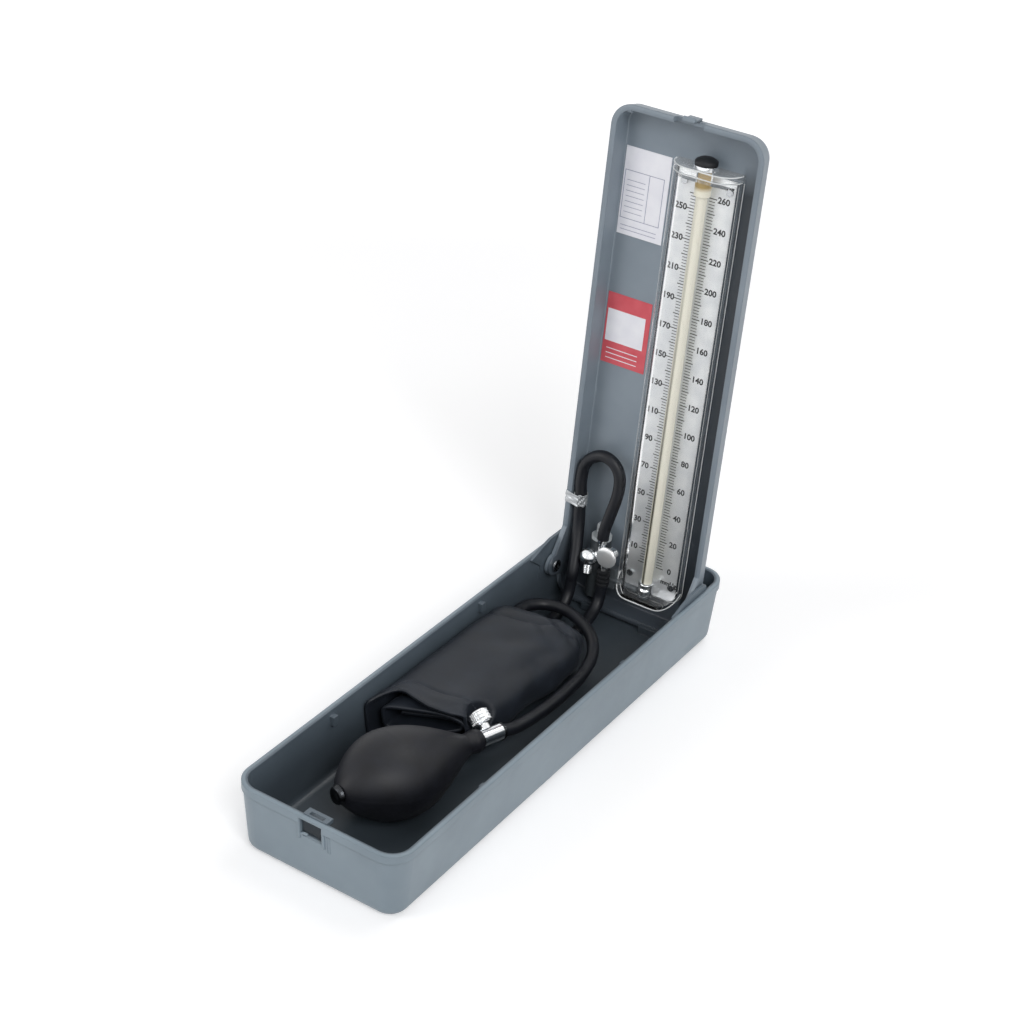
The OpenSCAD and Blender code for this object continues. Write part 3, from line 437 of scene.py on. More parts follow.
def clear_acrylic(name, body, edge_share):
    """Cast acrylic: see-through, with thin bright lines where its wall turns edge-on; `body` is the share of
    light that a face stops, edge_share what it stops edge-on. Shadow rays pass, so what it covers stays lit."""
    made, tree, out, where = material(name)
    through = add(tree, "BsdfTransparent", {0: linear("#ffffff")}).outputs[0]
    milky = add(tree, "BsdfDiffuse", {0: linear("#f2f5f6")}).outputs[0]
    facing = add(tree, "LayerWeight", {"Blend": 0.5}).outputs["Facing"]
    share = between(tree, calc(tree, "POWER", facing, EDGE_NARROWNESS), body, edge_share)
    wall = add(tree, "MixShader", {0: share, 1: through, 2: milky}).outputs[0]
    film = between(tree, noise(tree, where, 16, 3), 0.03, 0.09)
    shine = add(tree, "BsdfGlossy", {"Color": linear("#ffffff"), "Roughness": film}).outputs[0]
    gloss = add(tree, "Fresnel", {"IOR": 1.22}).outputs[0]
    seen = add(tree, "MixShader", {0: gloss, 1: wall, 2: shine}).outputs[0]
    shadow = add(tree, "LightPath").outputs["Is Shadow Ray"]
    surface = add(tree, "MixShader", {0: shadow, 1: seen, 2: through}).outputs[0]
    tree.links.new(surface, out.inputs[0])
    return made


# millimetres across a thread of the cuff; the real one is 0.25, drawn larger so that it shows
THREAD_DRAWN = 0.7


def coated_cloth(name):
    """Tightly woven nylon with a proofing coat: dark blue grey, a wide dull sheen, fine square weave."""
    made, tree, out, where = material(name)
    chart = add(tree, "TexCoord").outputs["UV"]
    warp, weft = (add(tree, "TexWave", {"Vector": chart, "Scale": per_mm(THREAD_DRAWN) / 3.14,
                                        "Distortion": 0.4}, bands_direction=way).outputs["Fac"] for way in "XY")
    worn = noise(tree, where, 22, 4, 0.6)
    return principled(made, tree, out, {
        "Base Color": ramp(tree, worn, [(0.3, "#171b21"), (0.55, "#1e232b"), (0.8, "#272d36")]),
        "Roughness": between(tree, worn, 0.42, 0.58), "Specular IOR Level": 0.32,
        "Sheen Weight": 0.06, "Sheen Roughness": 0.4, "Sheen Tint": linear("#8d98a5"),
        "Normal": bumped(tree, calc(tree, "MAXIMUM", warp, weft), 0.16)})


def plain_finish(name, colour, lighter, rough, grain_mm, strength=0.15, metallic=0.0):
    """A plain matt finish, such as card, paint or cloth tape: two near tones and a grain of grain_mm."""
    made, tree, out, where = material(name)
    grain = noise(tree, where, grain_mm, 3)
    return principled(made, tree, out, {
        "Base Color": ramp(tree, noise(tree, where, 10, 3), [(0.35, colour), (0.7, lighter)]),
        "Roughness": between(tree, grain, rough - 0.05, rough + 0.05), "Metallic": metallic,
        "Normal": bumped(tree, grain, strength)})


def aged_silicone(name):
    """Silicone bung: milky cream below, gone amber over its top few millimetres, where air reaches it."""
    made, tree, out, where = material(name)
    height = span(tree, add(tree, "SeparateXYZ", {0: where}).outputs["Z"], 295.5 * MM, 298.5 * MM)
    grain = noise(tree, where, 0.5, 2)
    return principled(made, tree, out, {
        "Base Color": ramp(tree, height, [(0.0, "#f4f0de"), (1.0, "#a98f52")]),
        "Roughness": between(tree, grain, 0.3, 0.4), "IOR": 1.43, "Normal": bumped(tree, grain, 0.1)})


def tube_glass(name):
    """Drawn glass over a cream enamel strip: pale yellow, with a dark line along its left side,
    strongest near the foot and gone two thirds of the way up."""
    made, tree, out, where = material(name)
    split = add(tree, "SeparateXYZ", {0: where}).outputs
    left = span(tree, split["X"], (UNIT_X - 2.2) * MM, (UNIT_X - 1.5) * MM)
    right = span(tree, split["X"], (UNIT_X - 0.6) * MM, (UNIT_X + 0.3) * MM, 1.0, 0.0)
    fade = span(tree, split["Z"], 100 * MM, 300 * MM, 0.95, 0.0)
    line = calc(tree, "MULTIPLY", calc(tree, "MULTIPLY", left, right), fade)
    cream = add(tree, "MixRGB", {0: line, 1: linear("#fbf8e8"), 2: linear("#2f2d16")}).outputs[0]
    body = add(tree, "BsdfPrincipled", {"Base Color": cream, "Roughness": 0.12, "IOR": 1.5}).outputs[0]
    through = add(tree, "BsdfTransparent", {0: linear("#f4f1dc")}).outputs[0]
    solid = add(tree, "MixShader", {0: 0.88, 1: through, 2: body}).outputs[0]
    tree.links.new(solid, out.inputs[0])
    return made


# ---------------------------------------------------------------- camera
# fitted to the edges of the case: place in millimetres, the directions before the roll, and the roll
CAMERA_AT = (537.92, -863.58, 763.63)
ROLL = np.radians(3.7835)
BACK = np.array([0.4524, -0.7281, 0.5150])
RIGHT = np.array([0.8494, 0.5277, 0.0])
UP = np.array([-0.2718, 0.4374, 0.8572])
LENS_MM, SENSOR_MM = 75.06, 36


def add_camera():
    """The photograph's camera."""
    data = bpy.data.cameras.new("camera")
    data.sensor_width = SENSOR_MM
    data.lens = LENS_MM
    data.clip_start = 0.05
    camera = bpy.data.objects.new("camera", data)
    across = RIGHT * np.cos(ROLL) + UP * np.sin(ROLL)
    upright = UP * np.cos(ROLL) - RIGHT * np.sin(ROLL)
    camera.matrix_world = standing(across, upright, BACK, np.array(CAMERA_AT) * MM)
    bpy.context.scene.collection.objects.link(camera)
    bpy.context.scene.camera = camera


add_camera()

# ---------------------------------------------------------------- finishes
# painted shade: the colour stops darken the tray's inside and the lid's inner side, most towards the tray's
# floor and the lid's hinge end
case_grey = moulded_abs("grey_abs_case", "#808e98", "#7a8892", "#86949e",
                        ("tray", 4, 45, [(0.0, "#75777a"), (0.5, "#8a8c90"), (1.0, "#bcbec2")]))
lid_grey = moulded_abs("grey_abs_lid", "#7e8993", "#78838d", "#848f99",
                       ("lid", 10, 62, [(0.0, "#8a8c90"), (0.45, "#b4b6ba"), (1.0, "#ffffff")]))
hose_rubber = smooth_rubber("black_rubber_hose", "#101217", "#171a21", 0.44)
bulb_rubber_finish = smooth_rubber("black_rubber_bulb", "#101116", "#181a21", 0.5, 0.8)
bladder_finish = smooth_rubber("brown_black_bladder_rubber", "#1c1a19", "#282523", 0.6)
cloth = coated_cloth("proofed_nylon_cuff")
chrome = plated_metal("chrome_plated_brass", "#eceef0", 0.17)
nickel = plain_finish("nickel_plated_brass", "#e6e8ea", "#fafafa", 0.24, 0.5, 0.05, 0.6)
steel = plated_metal("bright_steel", "#b9bcbf", 0.24)
dark_metal = plated_metal("blackened_brass", "#3a3c3f", 0.3)
thread_cotton = plain_finish("polyester_thread", "#353a42", "#454b54", 0.7, 0.3)
acrylic = clear_acrylic("clear_acrylic_cover", 0.008, 0.7)
# milky beads on the cover's edges: a painted highlight
edge_highlight_paint = clear_acrylic("acrylic_edge_painted_highlight", 0.62, 0.95)
acrylic_cap = clear_acrylic("clear_acrylic_cap", 0.08, 0.85)
glass = tube_glass("enamel_backed_glass")
scale_paint = plain_finish("matt_silver_paint_scale", "#d6d9dc", "#e6e8e9", 0.36, 0.6, 0.06, 0.45)
print_ink = plain_finish("black_printing_ink", "#101114", "#191b1f", 0.6, 0.4)
white_paper = plain_finish("coated_white_card", "#e9e9f0", "#f1f1f6", 0.5, 0.3, 0.05)
pale_ink = plain_finish("grey_printing_ink", "#8b8ca6", "#9c9db3", 0.6, 0.3)
red_paper = plain_finish("coated_red_card", "#cb4f59", "#d45c66", 0.5, 0.3, 0.05)
tape_silver = plain_finish("silver_cloth_tape", "#a9adb0", "#c9cccf", 0.34, 0.9, 0.35, 0.55)
frosted = plain_finish("frosted_polycarbonate", "#b4babd", "#c9ced0", 0.4, 0.4)
block_grey = plain_finish("grey_nylon_block", "#4c5256", "#5a6064", 0.5, 0.5)
reservoir_steel = plain_finish("painted_steel_reservoir", "#33383c", "#3f4549", 0.45, 0.5)
seal_rubber = smooth_rubber("black_rubber_seal", "#16171a", "#1f2124", 0.5)
yellow_seal = aged_silicone("aged_silicone_seal")
mercury = plated_metal("liquid_mercury", "#8d8f7c", 0.08)

# ---------------------------------------------------------------- hoses
LEG_BOTTOM_UP = [
    (-31, 75.46, 12), (-31.4, 88.1, 10), (-32.2, 98.99, 7.8), (-32.8, 110, 7.6), (-33.2, 119.4, 8.6),
    (-33.6, 126.6, 11.6), (-34, 131.8, 17.6), (-34.2, 134, 25)]
ARCH_UP = [
    (-34, 0, -1.5), (-36.5, 12, -7), (-39.6, 26, -12), (-41, 39, -13), (-41.5, 49, -13), (-42.3, 59, -13),
    (-41.2, 69, -13), (-36.2, 76, -13), (-28.6, 79.6, -13), (-20.8, 77.4, -13), (-15.6, 70, -13),
    (-14.6, 59, -12), (-16.8, 44, -10), (-18.8, 33, -8.6), (-19, 26, -8.2)]
BULB_ROUTE = [
    (18.674, -22.346, 23.024), (21.4, -14, 21.2), (23.6, 0.6, 20.5), (24.9, 19.1, 20), (24.6, 40.8, 20),
    (22.3, 61.6, 20), (16.3, 80, 20), (5.5, 95.1, 20), (-9.6, 105.7, 19.6), (-24, 111, 19),
    (-36, 108.8, 19), (-43.2, 100.5, 20), (-44.8, 89, 20.6), (-44.5, 73.56, 21)]
CUFF_ROUTE = [
    (-15.5, 141.36, 25.44), (-15.6, 139.56, 17), (-15.2, 134.56, 11), (-14.6, 125.96, 8),
    (-13.8, 114.96, 7.5), (-13, 102.49, 7.8), (-12.4, 90.57, 10), (-12, 78.13, 12)]
HOSE_STEPS = 9


def add_hose(name, route, side, body, *replaced):
    """A plain round rubber hose on a smooth route through the solids' own points."""
    mesh = sweep(name, route, HOSE_D / 2, side, 24)
    piece = place(mesh, hose_rubber, body, "rubber", *replaced)
    return piece


# the left hose: barb, arch in the lid, down over the hinge line, forward on the floor into the cuff
left_route = curve_through(np.vstack([on_lid(ARCH_UP)[::-1], LEG_BOTTOM_UP[::-1]]), HOSE_STEPS)
down = ease((60 - left_route[:, 2:3]) / 30)
left_hose = add_hose("left_hose", left_route, down * [1.0, 0, 0] + (1 - down) * OUT_OF_LID, None,
                     "arch_hose", "leg_hose")
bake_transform(left_hose)

cuff_tube = add_hose("cuff_tube", curve_through(CUFF_ROUTE, HOSE_STEPS), (1, 0, 0), None, "cuff_hose")
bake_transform(cuff_tube)

add_hose("bulb_tube", curve_through(BULB_ROUTE, HOSE_STEPS), (0, 0, 1), "base", "bulb_hose")

# ---------------------------------------------------------------- cuff
CUFF_LOW, CUFF_H, CUFF_L = 3.9, 38.0, 126.0
FRONT_MID, REAR_MID = np.array([-19.2, -48.0]), np.array([-15.6, 77.0])
FRONT_W, REAR_W = 62.0, 66.0
FRONT_SLANT, REAR_SLANT = np.radians(21), np.radians(8)
CLOTH_T = 1.8
TURNS = 2.6
TURN_PITCH = 6.2
FREE_EDGE_ANGLE = np.radians(-80)
# the two stitched seams: distance from the front or rear end, and how far they swing round the roll
SEAM_FRONT_MM, SEAM_REAR_MM = 16.0, 14.0
FRONT_SWING, REAR_SWING = 1.5, 2.0
# how far the free front edge stands back (+) or forward (-) at places across the roll
LIP_ACROSS = [-33, -30.3, -28.5, -25, -22.5, -18, -8.3, 2.8, 10.7, 17.6, 23, 31]
LIP_BACK = [-4.0, -2.6, 1.0, 7.6, 10.0, 10.3, 4.7, -1.0, -3.0, -3.3, -1.0, 0]
# what presses on the roll: middle, direction it pushes, how deep, and how fast that dies sideways
PRESSES = [((6.3, -28.7, 30.1), (-0.8, 0.05, -0.6), 8.4, 14.0),
           ((14.5, -36.0, 24.0), (-0.98, 0.1, -0.15), 11.0, 18.0)]


def cuff_frame(t):
    """Middle, slant and half width of the roll at a share t of its length; the right rear corner
    is drawn in over the last eighth."""
    cut = 8.0 * np.clip((t - 0.88) / 0.12, 0, 1)
    mid = FRONT_MID + t[..., None] * (REAR_MID - FRONT_MID) - np.stack([cut / 2, 0 * cut], -1)
    slant = FRONT_SLANT + t * (REAR_SLANT - FRONT_SLANT)
    half = ((FRONT_W + t * (REAR_W - FRONT_W) - cut) - CUFF_H) / 2 / np.cos(slant) + CUFF_H / 2
    return mid, slant, half


def wall_lean(z):
    """How far inside the rim's outline the tray's outer wall stands at height z, under the band."""
    return BAND_PROUD + DRAFT * (CASE_H - z) / (CASE_H - BAND_PROUD)


def left_wall_x(z):
    """X of the tray's inner left wall at height z."""
    return -(CASE_W / 2 - WALL - wall_lean(z))


def cuff_surface(t, turn):
    """The rolled sheet. turn counts whole turns inwards from the free edge under the roll. The section is a
    rounded oblong |x/a|^p + |z/b|^p = 1, p = 7 at its left and 2.6 at its right, that shrinks by TURN_PITCH
    each turn. Long waves, the free edge's outline, two stitched dips, creases near the right rear corner and
    the dents of the valve and its screw are added."""
    mid, slant, half = cuff_frame(t)
    a = FREE_EDGE_ANGLE + 2 * np.pi * turn
    c, s = np.cos(a), np.sin(a)
    inset = CLOTH_T / 2 + TURN_PITCH * turn
    outer = np.exp(-((turn - 0.5) / 0.75) ** 2)
    waves = (0.9 * np.sin(2 * np.pi * (1.3 * t + 1.1 * turn) + 0.6) * np.sin(2 * np.pi * 0.9 * t + 2.0)
             + 0.6 * np.sin(2 * np.pi * (2.7 * t - 2.3 * turn) + 1.9)
             + 0.35 * np.sin(2 * np.pi * (4.1 * t + 3.7 * turn) + 4.0) * ease((t - 0.3) / 0.5))
    top = np.clip(s, 0, 1)
    corner = np.exp(-((t - 0.92) / 0.11) ** 2) * np.exp(-((c - 0.5) / 0.4) ** 2) * top
    creases = corner * 1.7 * np.sin(2 * np.pi * (8 * t + 1.8 * c))
    seam_front = np.exp(-(t * CUFF_L - SEAM_FRONT_MM - FRONT_SWING * c) ** 2)
    seam_rear = np.exp(-((1 - t) * CUFF_L - SEAM_REAR_MM + REAR_SWING * c) ** 2)
    lip = 0.9 * np.exp(-(t * CUFF_L / 4.0) ** 2) + 0.7 * np.exp(-((t * CUFF_L - 9.0) / 4.0) ** 2)
    waves = waves * (1 - 0.85 * ease(-c / 0.7))
    inset = inset + (waves + creases + 0.95 * (seam_front + seam_rear) - lip) * (0.35 + 0.65 * outer)
    # the roll sags a little between its sides and droops over its last few millimetres
    sag = 1.6 * top * np.exp(-(c / 0.6) ** 2) * ease(t / 0.25) * ease((1 - t) / 0.12)
    droop = 4.5 * top * ease((t - 0.93) / 0.07) + 1.0 * top * ease((t - 0.8) / 0.15)
    power = 2.6 + 4.4 * ease((0.25 - c) / 0.9)
    reach = (np.abs(c) ** power + np.abs(s) ** power) ** (-1 / power)
    across = (half + 1.2 * ease((0.9 - t) / 0.1) + 3.2 * ease(-c / 0.5) - inset) * c * reach
    up = (CUFF_H / 2 - inset) * s * reach - (sag + droop) * outer
    inner = ease((turn - 0.85) / 0.3)
    edge = np.interp(across, LIP_ACROSS, LIP_BACK)
    back = 1.5 * inner + 6.0 * ease((turn - 1.75) / 0.4)
    shift = back * (1 - t) + edge * (1 - inner) * (1 - t) ** 2.6
    x = mid[..., 0] + across * np.cos(slant)
    y = mid[..., 1] + across * np.sin(slant) + shift
    z = CUFF_LOW + CUFF_H / 2 + up
    points = np.stack([x, y, z], -1)
    for middle, push, depth, spread in PRESSES:
        push = unit(push)
        away = points - middle
        along = away @ push
        sideways = (away ** 2).sum(-1) - along ** 2
        least = depth - sideways / spread
        # the larger of the two, rounded over about 2 mm
        moved = (along + least + np.sqrt((along - least) ** 2 + 4.0)) / 2 - 1.0 / (1 + np.abs(along - least))
        points = points + (np.maximum(moved, along) - along)[..., None] * push
    points[..., 0] = np.maximum(points[..., 0], left_wall_x(points[..., 2]) + CLOTH_T / 2 + 0.25)
    points[..., 2] = np.maximum(points[..., 2], CUFF_LOW + CLOTH_T / 2)
    return points


def add_cuff():
    """The sheet as a grid of length by turns, and its stitching as rows of short threads."""
    t, turn = np.meshgrid(np.linspace(0, 1, 96), np.linspace(0, TURNS, 300), indexing="ij")
    points = cuff_surface(t, turn)
    around = np.linalg.norm(np.diff(points, axis=1), axis=-1).mean(0)
    around = np.concatenate([[0], np.cumsum(around)])
    width = np.linalg.norm(np.diff(points, axis=0), axis=-1).sum(0).mean()
    chart = np.stack([t * width, np.broadcast_to(around, t.shape)], -1) * MM
    mesh = grid_mesh("cuff_roll", points, chart.reshape(-1, 2), 80)
    cuff = place(mesh, cloth, "base", "fabric", "cuff")
    thicken(cuff, CLOTH_T)
    threads = [stitch_row("seam_front", SEAM_FRONT_MM, FRONT_SWING),
               stitch_row("seam_rear", CUFF_L - SEAM_REAR_MM, REAR_SWING)]
    stitches = place(joined("cuff_stitches", threads), thread_cotton, "base", "fabric")
    return cuff, stitches


def stitch_row(name, at, swing):
    """46 threads over the outer turn of the roll, along a seam `at` millimetres from its front end. Each is a
    bead of five six-sided rings that thins to its two ends and lies on the cloth's outer face."""
    turn = np.linspace(0.05, 0.86, 46)[:, None] + np.linspace(0, 0.0125, 5)[None]
    t = (at + swing * np.cos(FREE_EDGE_ANGLE + 2 * np.pi * turn)) / CUFF_L
    line = cuff_surface(t, turn)
    along = unit(cuff_surface(t, turn + 0.004) - line)
    across = unit(cuff_surface(t + 0.004, turn) - line)
    outward = unit(np.cross(across, along))
    mid = cuff_surface(t, turn + 0.5)
    outward = np.where(((line - mid) * outward).sum(-1, keepdims=True) < 0, -outward, outward)
    line = line + outward * (CLOTH_T / 2 + 0.05)
    swell = np.sqrt(np.clip(1 - np.linspace(-0.98, 0.98, 5) ** 2, 0, 1))[None, :, None, None]
    k = np.arange(6) * np.pi / 3
    rings = (line[:, :, None] + 0.34 * swell * (np.cos(k)[:, None] * outward[:, :, None]
                                                + np.sin(k)[:, None] * across[:, :, None]))
    ends = np.array([[5, 4, 3, 2], [5, 2, 1, 0], [24, 25, 26, 27], [24, 27, 28, 29]])
    one = np.concatenate([grid_faces(5, 6, False, True), ends])
    faces = (one[None] + 30 * np.arange(len(turn))[:, None, None]).reshape(-1, 4)
    return mesh_from(name, rings.reshape(-1, 3), faces.tolist())


def add_bladder():
    """The bladder, a slack flat pillow inside the roll. Its section is an oblong whose thickness dies to its
    two ends as the square root of what is left."""
    t = np.linspace(0.0, 1, 40)
    mid, slant, half = cuff_frame(0.16 + 0.7 * t)
    swell = np.sqrt(np.clip(1 - (2 * t - 1) ** 8, 0.002, 1))
    a = np.linspace(0, 2 * np.pi, 64, endpoint=False)
    across = ((half - 17.5) * swell)[:, None] * np.sign(np.cos(a)) * np.abs(np.cos(a)) ** 0.8
    lift = (2.2 * swell)[:, None] * np.sign(np.sin(a)) * np.abs(np.sin(a)) ** 0.9
    lift = lift * (1 + 0.15 * np.sin(9 * t))[:, None]
    skin = np.stack([mid[:, :1] + across * np.cos(slant)[:, None], mid[:, 1:] + across * np.sin(slant)[:, None],
                     CUFF_LOW + 18.5 + lift], -1)
    pillow = place(closed_skin("bladder_pillow", skin[:, ::-1]), bladder_finish, "base", "bladder_rubber",
                   "bladder")
    return pillow


for soft in (*add_cuff(), add_bladder()):
    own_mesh(soft)

# ---------------------------------------------------------------- bulb and valves
BULB_TAIL = np.array([-12.9, -136.2, 32.115])
BULB_AXIS = unit([0.26645, 0.96079, -0.07672])
BULB_L, BULB_R, NECK_R = 100.0, 25.5, 6.5
BULB_WIDEST = 0.38


def bulb_radius(u):
    """A quarter of an oval to the widest place, then a long taper into the neck."""
    near = np.sin(np.pi / 2 * np.clip(u / BULB_WIDEST, 0.0, 1)) ** 0.6 * BULB_R
    v = np.clip((u - BULB_WIDEST) / (0.9 - BULB_WIDEST), 0, 1)
    far = NECK_R + (BULB_R - NECK_R) * np.cos(np.pi / 2 * v) ** 1.1
    return np.where(u < BULB_WIDEST, near, far)


def add_bulb():
    """The bulb: its belly spreads sideways under its own weight by up to 10 %, a mould line runs round its
    widest place and another along it, and a rolled bead ends the neck."""
    u = 0.5 - 0.5 * np.cos(np.linspace(0.04, 1, 130) * np.pi)
    u[0] = 0.0015
    a = np.linspace(0, 2 * np.pi, 160, endpoint=False)[None]
    side = unit(np.cross(BULB_AXIS, [0, 0, 1]))
    top = np.cross(side, BULB_AXIS)
    r = bulb_radius(u)
    r = r + 0.22 * np.exp(-((u - BULB_WIDEST) * BULB_L / 0.5) ** 2)
    r = r + 0.5 * np.exp(-((u - 0.965) * BULB_L / 1.6) ** 2)
    r = r[:, None] + 0.16 * np.exp(-(np.abs(np.abs(np.cos(a)) - 1) / 0.0009)) * ease(u / 0.05)[:, None]
    belly = np.exp(-((u - 0.4) / 0.28) ** 2)[:, None]
    wide = r * np.cos(a) * (1 + 0.1 * belly)
    high = r * np.sin(a) * (1 - 0.015 * belly - 0.03 * belly * np.clip(np.sin(a), 0, 1))
    rings = (BULB_TAIL + (u * BULB_L)[:, None, None] * BULB_AXIS
             + wide[..., None] * side + high[..., None] * top)
    rings = rings[:, ::-1]
    rings[..., 2] = np.maximum(rings[..., 2], FLOOR_Z + 0.1)
    return place(closed_skin("bulb_rubber_body", rings), bulb_rubber_finish, "base", "rubber", "bulb")


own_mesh(add_bulb())

SCREW_AT = np.array([16.010, -31.954, 23.791])
SCREW_AXIS = unit([-0.80634, 0.26581, 0.52836])


def diamond_knurl(first, last, depth, starts):
    """Two sets of crossed helical cuts between two distances along the axis."""
    def ripple(t, a):
        inside = (t > first) & (t < last)
        cut = np.cos(starts * a / 2 + 1.5 * t) * np.cos(starts * a / 2 - 1.5 * t)
        return np.where(inside, depth * cut, 0.0)
    return ripple


head = [(0.5, 1.8), (6.4, 1.8), (6.5, 2.6), (7.3, 2.8), (7.5, 5.6), (7.9, 6.2)]
head += [(float(t), 6.3) for t in np.linspace(8.1, 14.9, 48)]
head += [(15.2, 6.1), (15.5, 5.7), (15.6, 5.0), (15.4, 4.6), (15.35, 2.0), (15.4, 0.6)]
place(turned("release_screw_knurled", head, SCREW_AT, SCREW_AXIS, 144, diamond_knurl(8.3, 14.7, 0.4, 32)),
      chrome, "release_screw", "chrome", "release_screw")

# blackened rings on the bulb's line: distance from its tail, slot and section
for ring_name, ring_at, ring_slot, section in (
        ("barrel_ring_bulb_end", 100.2, "rubber", [(0, 5.0), (0.1, 5.5), (1.1, 5.6), (1.3, 5.1)]),
        ("barrel_ring_hose_end", 116.4, "rubber", [(0, 5.0), (0.15, 5.35), (1.2, 5.35), (1.9, 4.3)]),
        ("inlet_valve_lip", 0, "steel", [(-1.9, 1.9), (-2.1, 2.6), (-2.2, 4.2), (-1.7, 5.1), (-0.4, 5.4),
                                         (0.4, 5.9), (1.2, 5.4)])):
    place(turned(ring_name, section, BULB_TAIL + ring_at * BULB_AXIS, BULB_AXIS), dark_metal, "base", ring_slot)

# ---------------------------------------------------------------- manometer pieces in the lid
def lid_turned(name, profile, x, s, n, axis, finish, body, slot, *replaced, sides=56, ripple=None):
    """A turned piece placed in the lid's frame."""
    return place(turned(name, profile, on_lid([x, s, n]), axis, sides, ripple), finish, body, slot, *replaced)


KNOB_BACK = BAR_N + 3.7
lid_turned("cock_knob_disc", [
    (-6.0, 2.0), (-0.1, 2.0), (0.0, 5.6), (0.3, 6.6), (0.8, 7.0), (1.4, 7.0), (1.9, 6.9), (2.2, 6.6),
    (2.5, 5.8), (2.75, 4.4), (2.9, 3.0), (3.0, 1.6), (3.0, 0.2)],
    KNOB_AT[0], KNOB_AT[1], KNOB_BACK, OUT_OF_LID, nickel, "cock_knob", "chrome", "cock_knob", sides=72,
    ripple=lambda t, a: np.where((t > 0.7) & (t < 2.2), 0.12 * np.cos(36 * a), 0.0))

dome = [(-5.9 * np.cos(k), 6.0 * np.sin(k)) for k in np.linspace(0.62, 3.05, 26)]
stub = [(-11.0, 2.6)] + [(-10.8 + 0.28 * k, 3.25 if k % 2 else 2.85) for k in range(21)]
lid_turned("domed_nut_turned", stub + [(-4.95, 3.4)] + dome, NUT_AT[0], NUT_AT[1], BAR_N + 2.4, UP_LID,
           chrome, "lid", "chrome", "domed_nut")

rings = [(-6.0, 3.4), (-5.8, 3.8)]
for start in (-5.6, -2.6, 0.4, 3.4):
    rings += [(start + step, r) for step, r in
              ((0.0, 3.9), (0.2, 4.3), (1.0, 4.45), (1.8, 4.3), (2.0, 3.75), (2.6, 3.7))]
lid_turned("coupling_ringed", rings + [(6.0, 3.6)], COUPLING_X, 0, BAR_N, UP_LID, seal_rubber, "lid", "rubber",
           "hose_coupling")

lid_turned("tube_cap_domed", [
    (-4.0, 3.9), (2.5, 3.9), (2.6, 6.2), (2.9, 6.75), (4.6, 6.75), (5.2, 6.4), (5.6, 5.6), (5.9, 5.2),
    (6.4, 4.4), (6.8, 3.0), (7.0, 1.0)],
    UNIT_X, UNIT_TOP + CAP_T, TUBE_N, UP_LID, seal_rubber, "lid", "rubber", "tube_cap", sides=96,
    ripple=lambda t, a: np.where((t > 2.8) & (t < 4.8), 0.14 * np.cos(32 * a), 0.0))

lid_turned("tube_socket_ball", [
    (-6.15, 3.0), (-6.0, 4.2), (-5.0, 4.9), (-3.6, 5.25), (-2.0, 5.3), (-0.4, 5.1), (0.6, 4.7), (1.0, 4.3),
    (1.3, 4.3), (1.6, 4.9), (3.2, 5.1), (4.2, 5.0), (4.7, 4.6), (4.8, 3.6)],
    UNIT_X, 0, TUBE_N, UP_LID, chrome, "lid", "chrome", "tube_socket", "bottom_seal")


# the clear cover: half its width, how far it stands out of the panel, the rounding along its sides, the
# place of its lower end, and that end's corners
COVER_HALF, COVER_DEPTH, COVER_ROUND = 22.0, 16.5, 14.0
COVER_LOW, COVER_CORNER = -8.0, 10.0


def cover_front(across):
    """How far out of the lid the cover's front stands at a distance across from its middle: flat, then a
    quarter circle of COVER_ROUND down each side."""
    over = np.clip(np.abs(across) - (COVER_HALF - COVER_ROUND), 0, COVER_ROUND)
    return PANEL_N + COVER_DEPTH - COVER_ROUND + np.sqrt(COVER_ROUND ** 2 - over ** 2)


def add_cover_edges():
    """Thin beads along the clear cover's real edges, painted milky white as a highlight for the light they
    gather:
    its foot on the panel, the front edge round its lower end, and the outlines of its cap. The lower end is a U
    with corners of COVER_CORNER."""
    a = np.linspace(np.pi, 1.5 * np.pi, 14)
    left = np.stack([-COVER_HALF + COVER_CORNER + COVER_CORNER * np.cos(a),
                     COVER_LOW + COVER_CORNER + COVER_CORNER * np.sin(a)], -1)
    lower = np.concatenate([left, np.stack([np.linspace(-11, 11, 9), np.full(9, COVER_LOW)], -1),
                            (left * [-1, 1])[::-1]])
    foot = np.concatenate([[[-COVER_HALF, UNIT_TOP - 1]], lower, [[COVER_HALF, UNIT_TOP - 1]]])
    foot = np.column_stack([foot, np.full(len(foot), PANEL_N + 0.3)])
    front = np.column_stack([lower, cover_front(lower[:, 0])])
    k = np.linspace(np.radians(200), np.radians(-20), 40)
    over = COVER_HALF * np.sign(np.cos(k)) * np.abs(np.cos(k)) ** 0.85
    cap = np.stack([over, np.full(40, UNIT_TOP + CAP_T), np.maximum(cover_front(over), PANEL_N + 1)], -1)
    seam = cap - [0, CAP_T, 0]
    # the bead's line, its radius, and how far its middle is shifted along the direction out of the lid
    lines = {"foot": (foot, 0.28, 0.0), "front": (front, 0.38, -0.1), "cap": (cap, 0.4, -0.15),
             "seam": (seam, 0.3, 0.0)}
    meshes = [sweep(name, on_lid(path + [UNIT_X, 0, shift]), radius, (0.3, 0.2, 0.93), 8, uv=False)
              for name, (path, radius, shift) in lines.items()]
    place(joined("cover_edge_painted_highlight", meshes), edge_highlight_paint, "lid", "clear_plastic")


add_cover_edges()

TAPE_S, TAPE_HALF_W, TAPE_T = 45.3, 3.9, 0.35


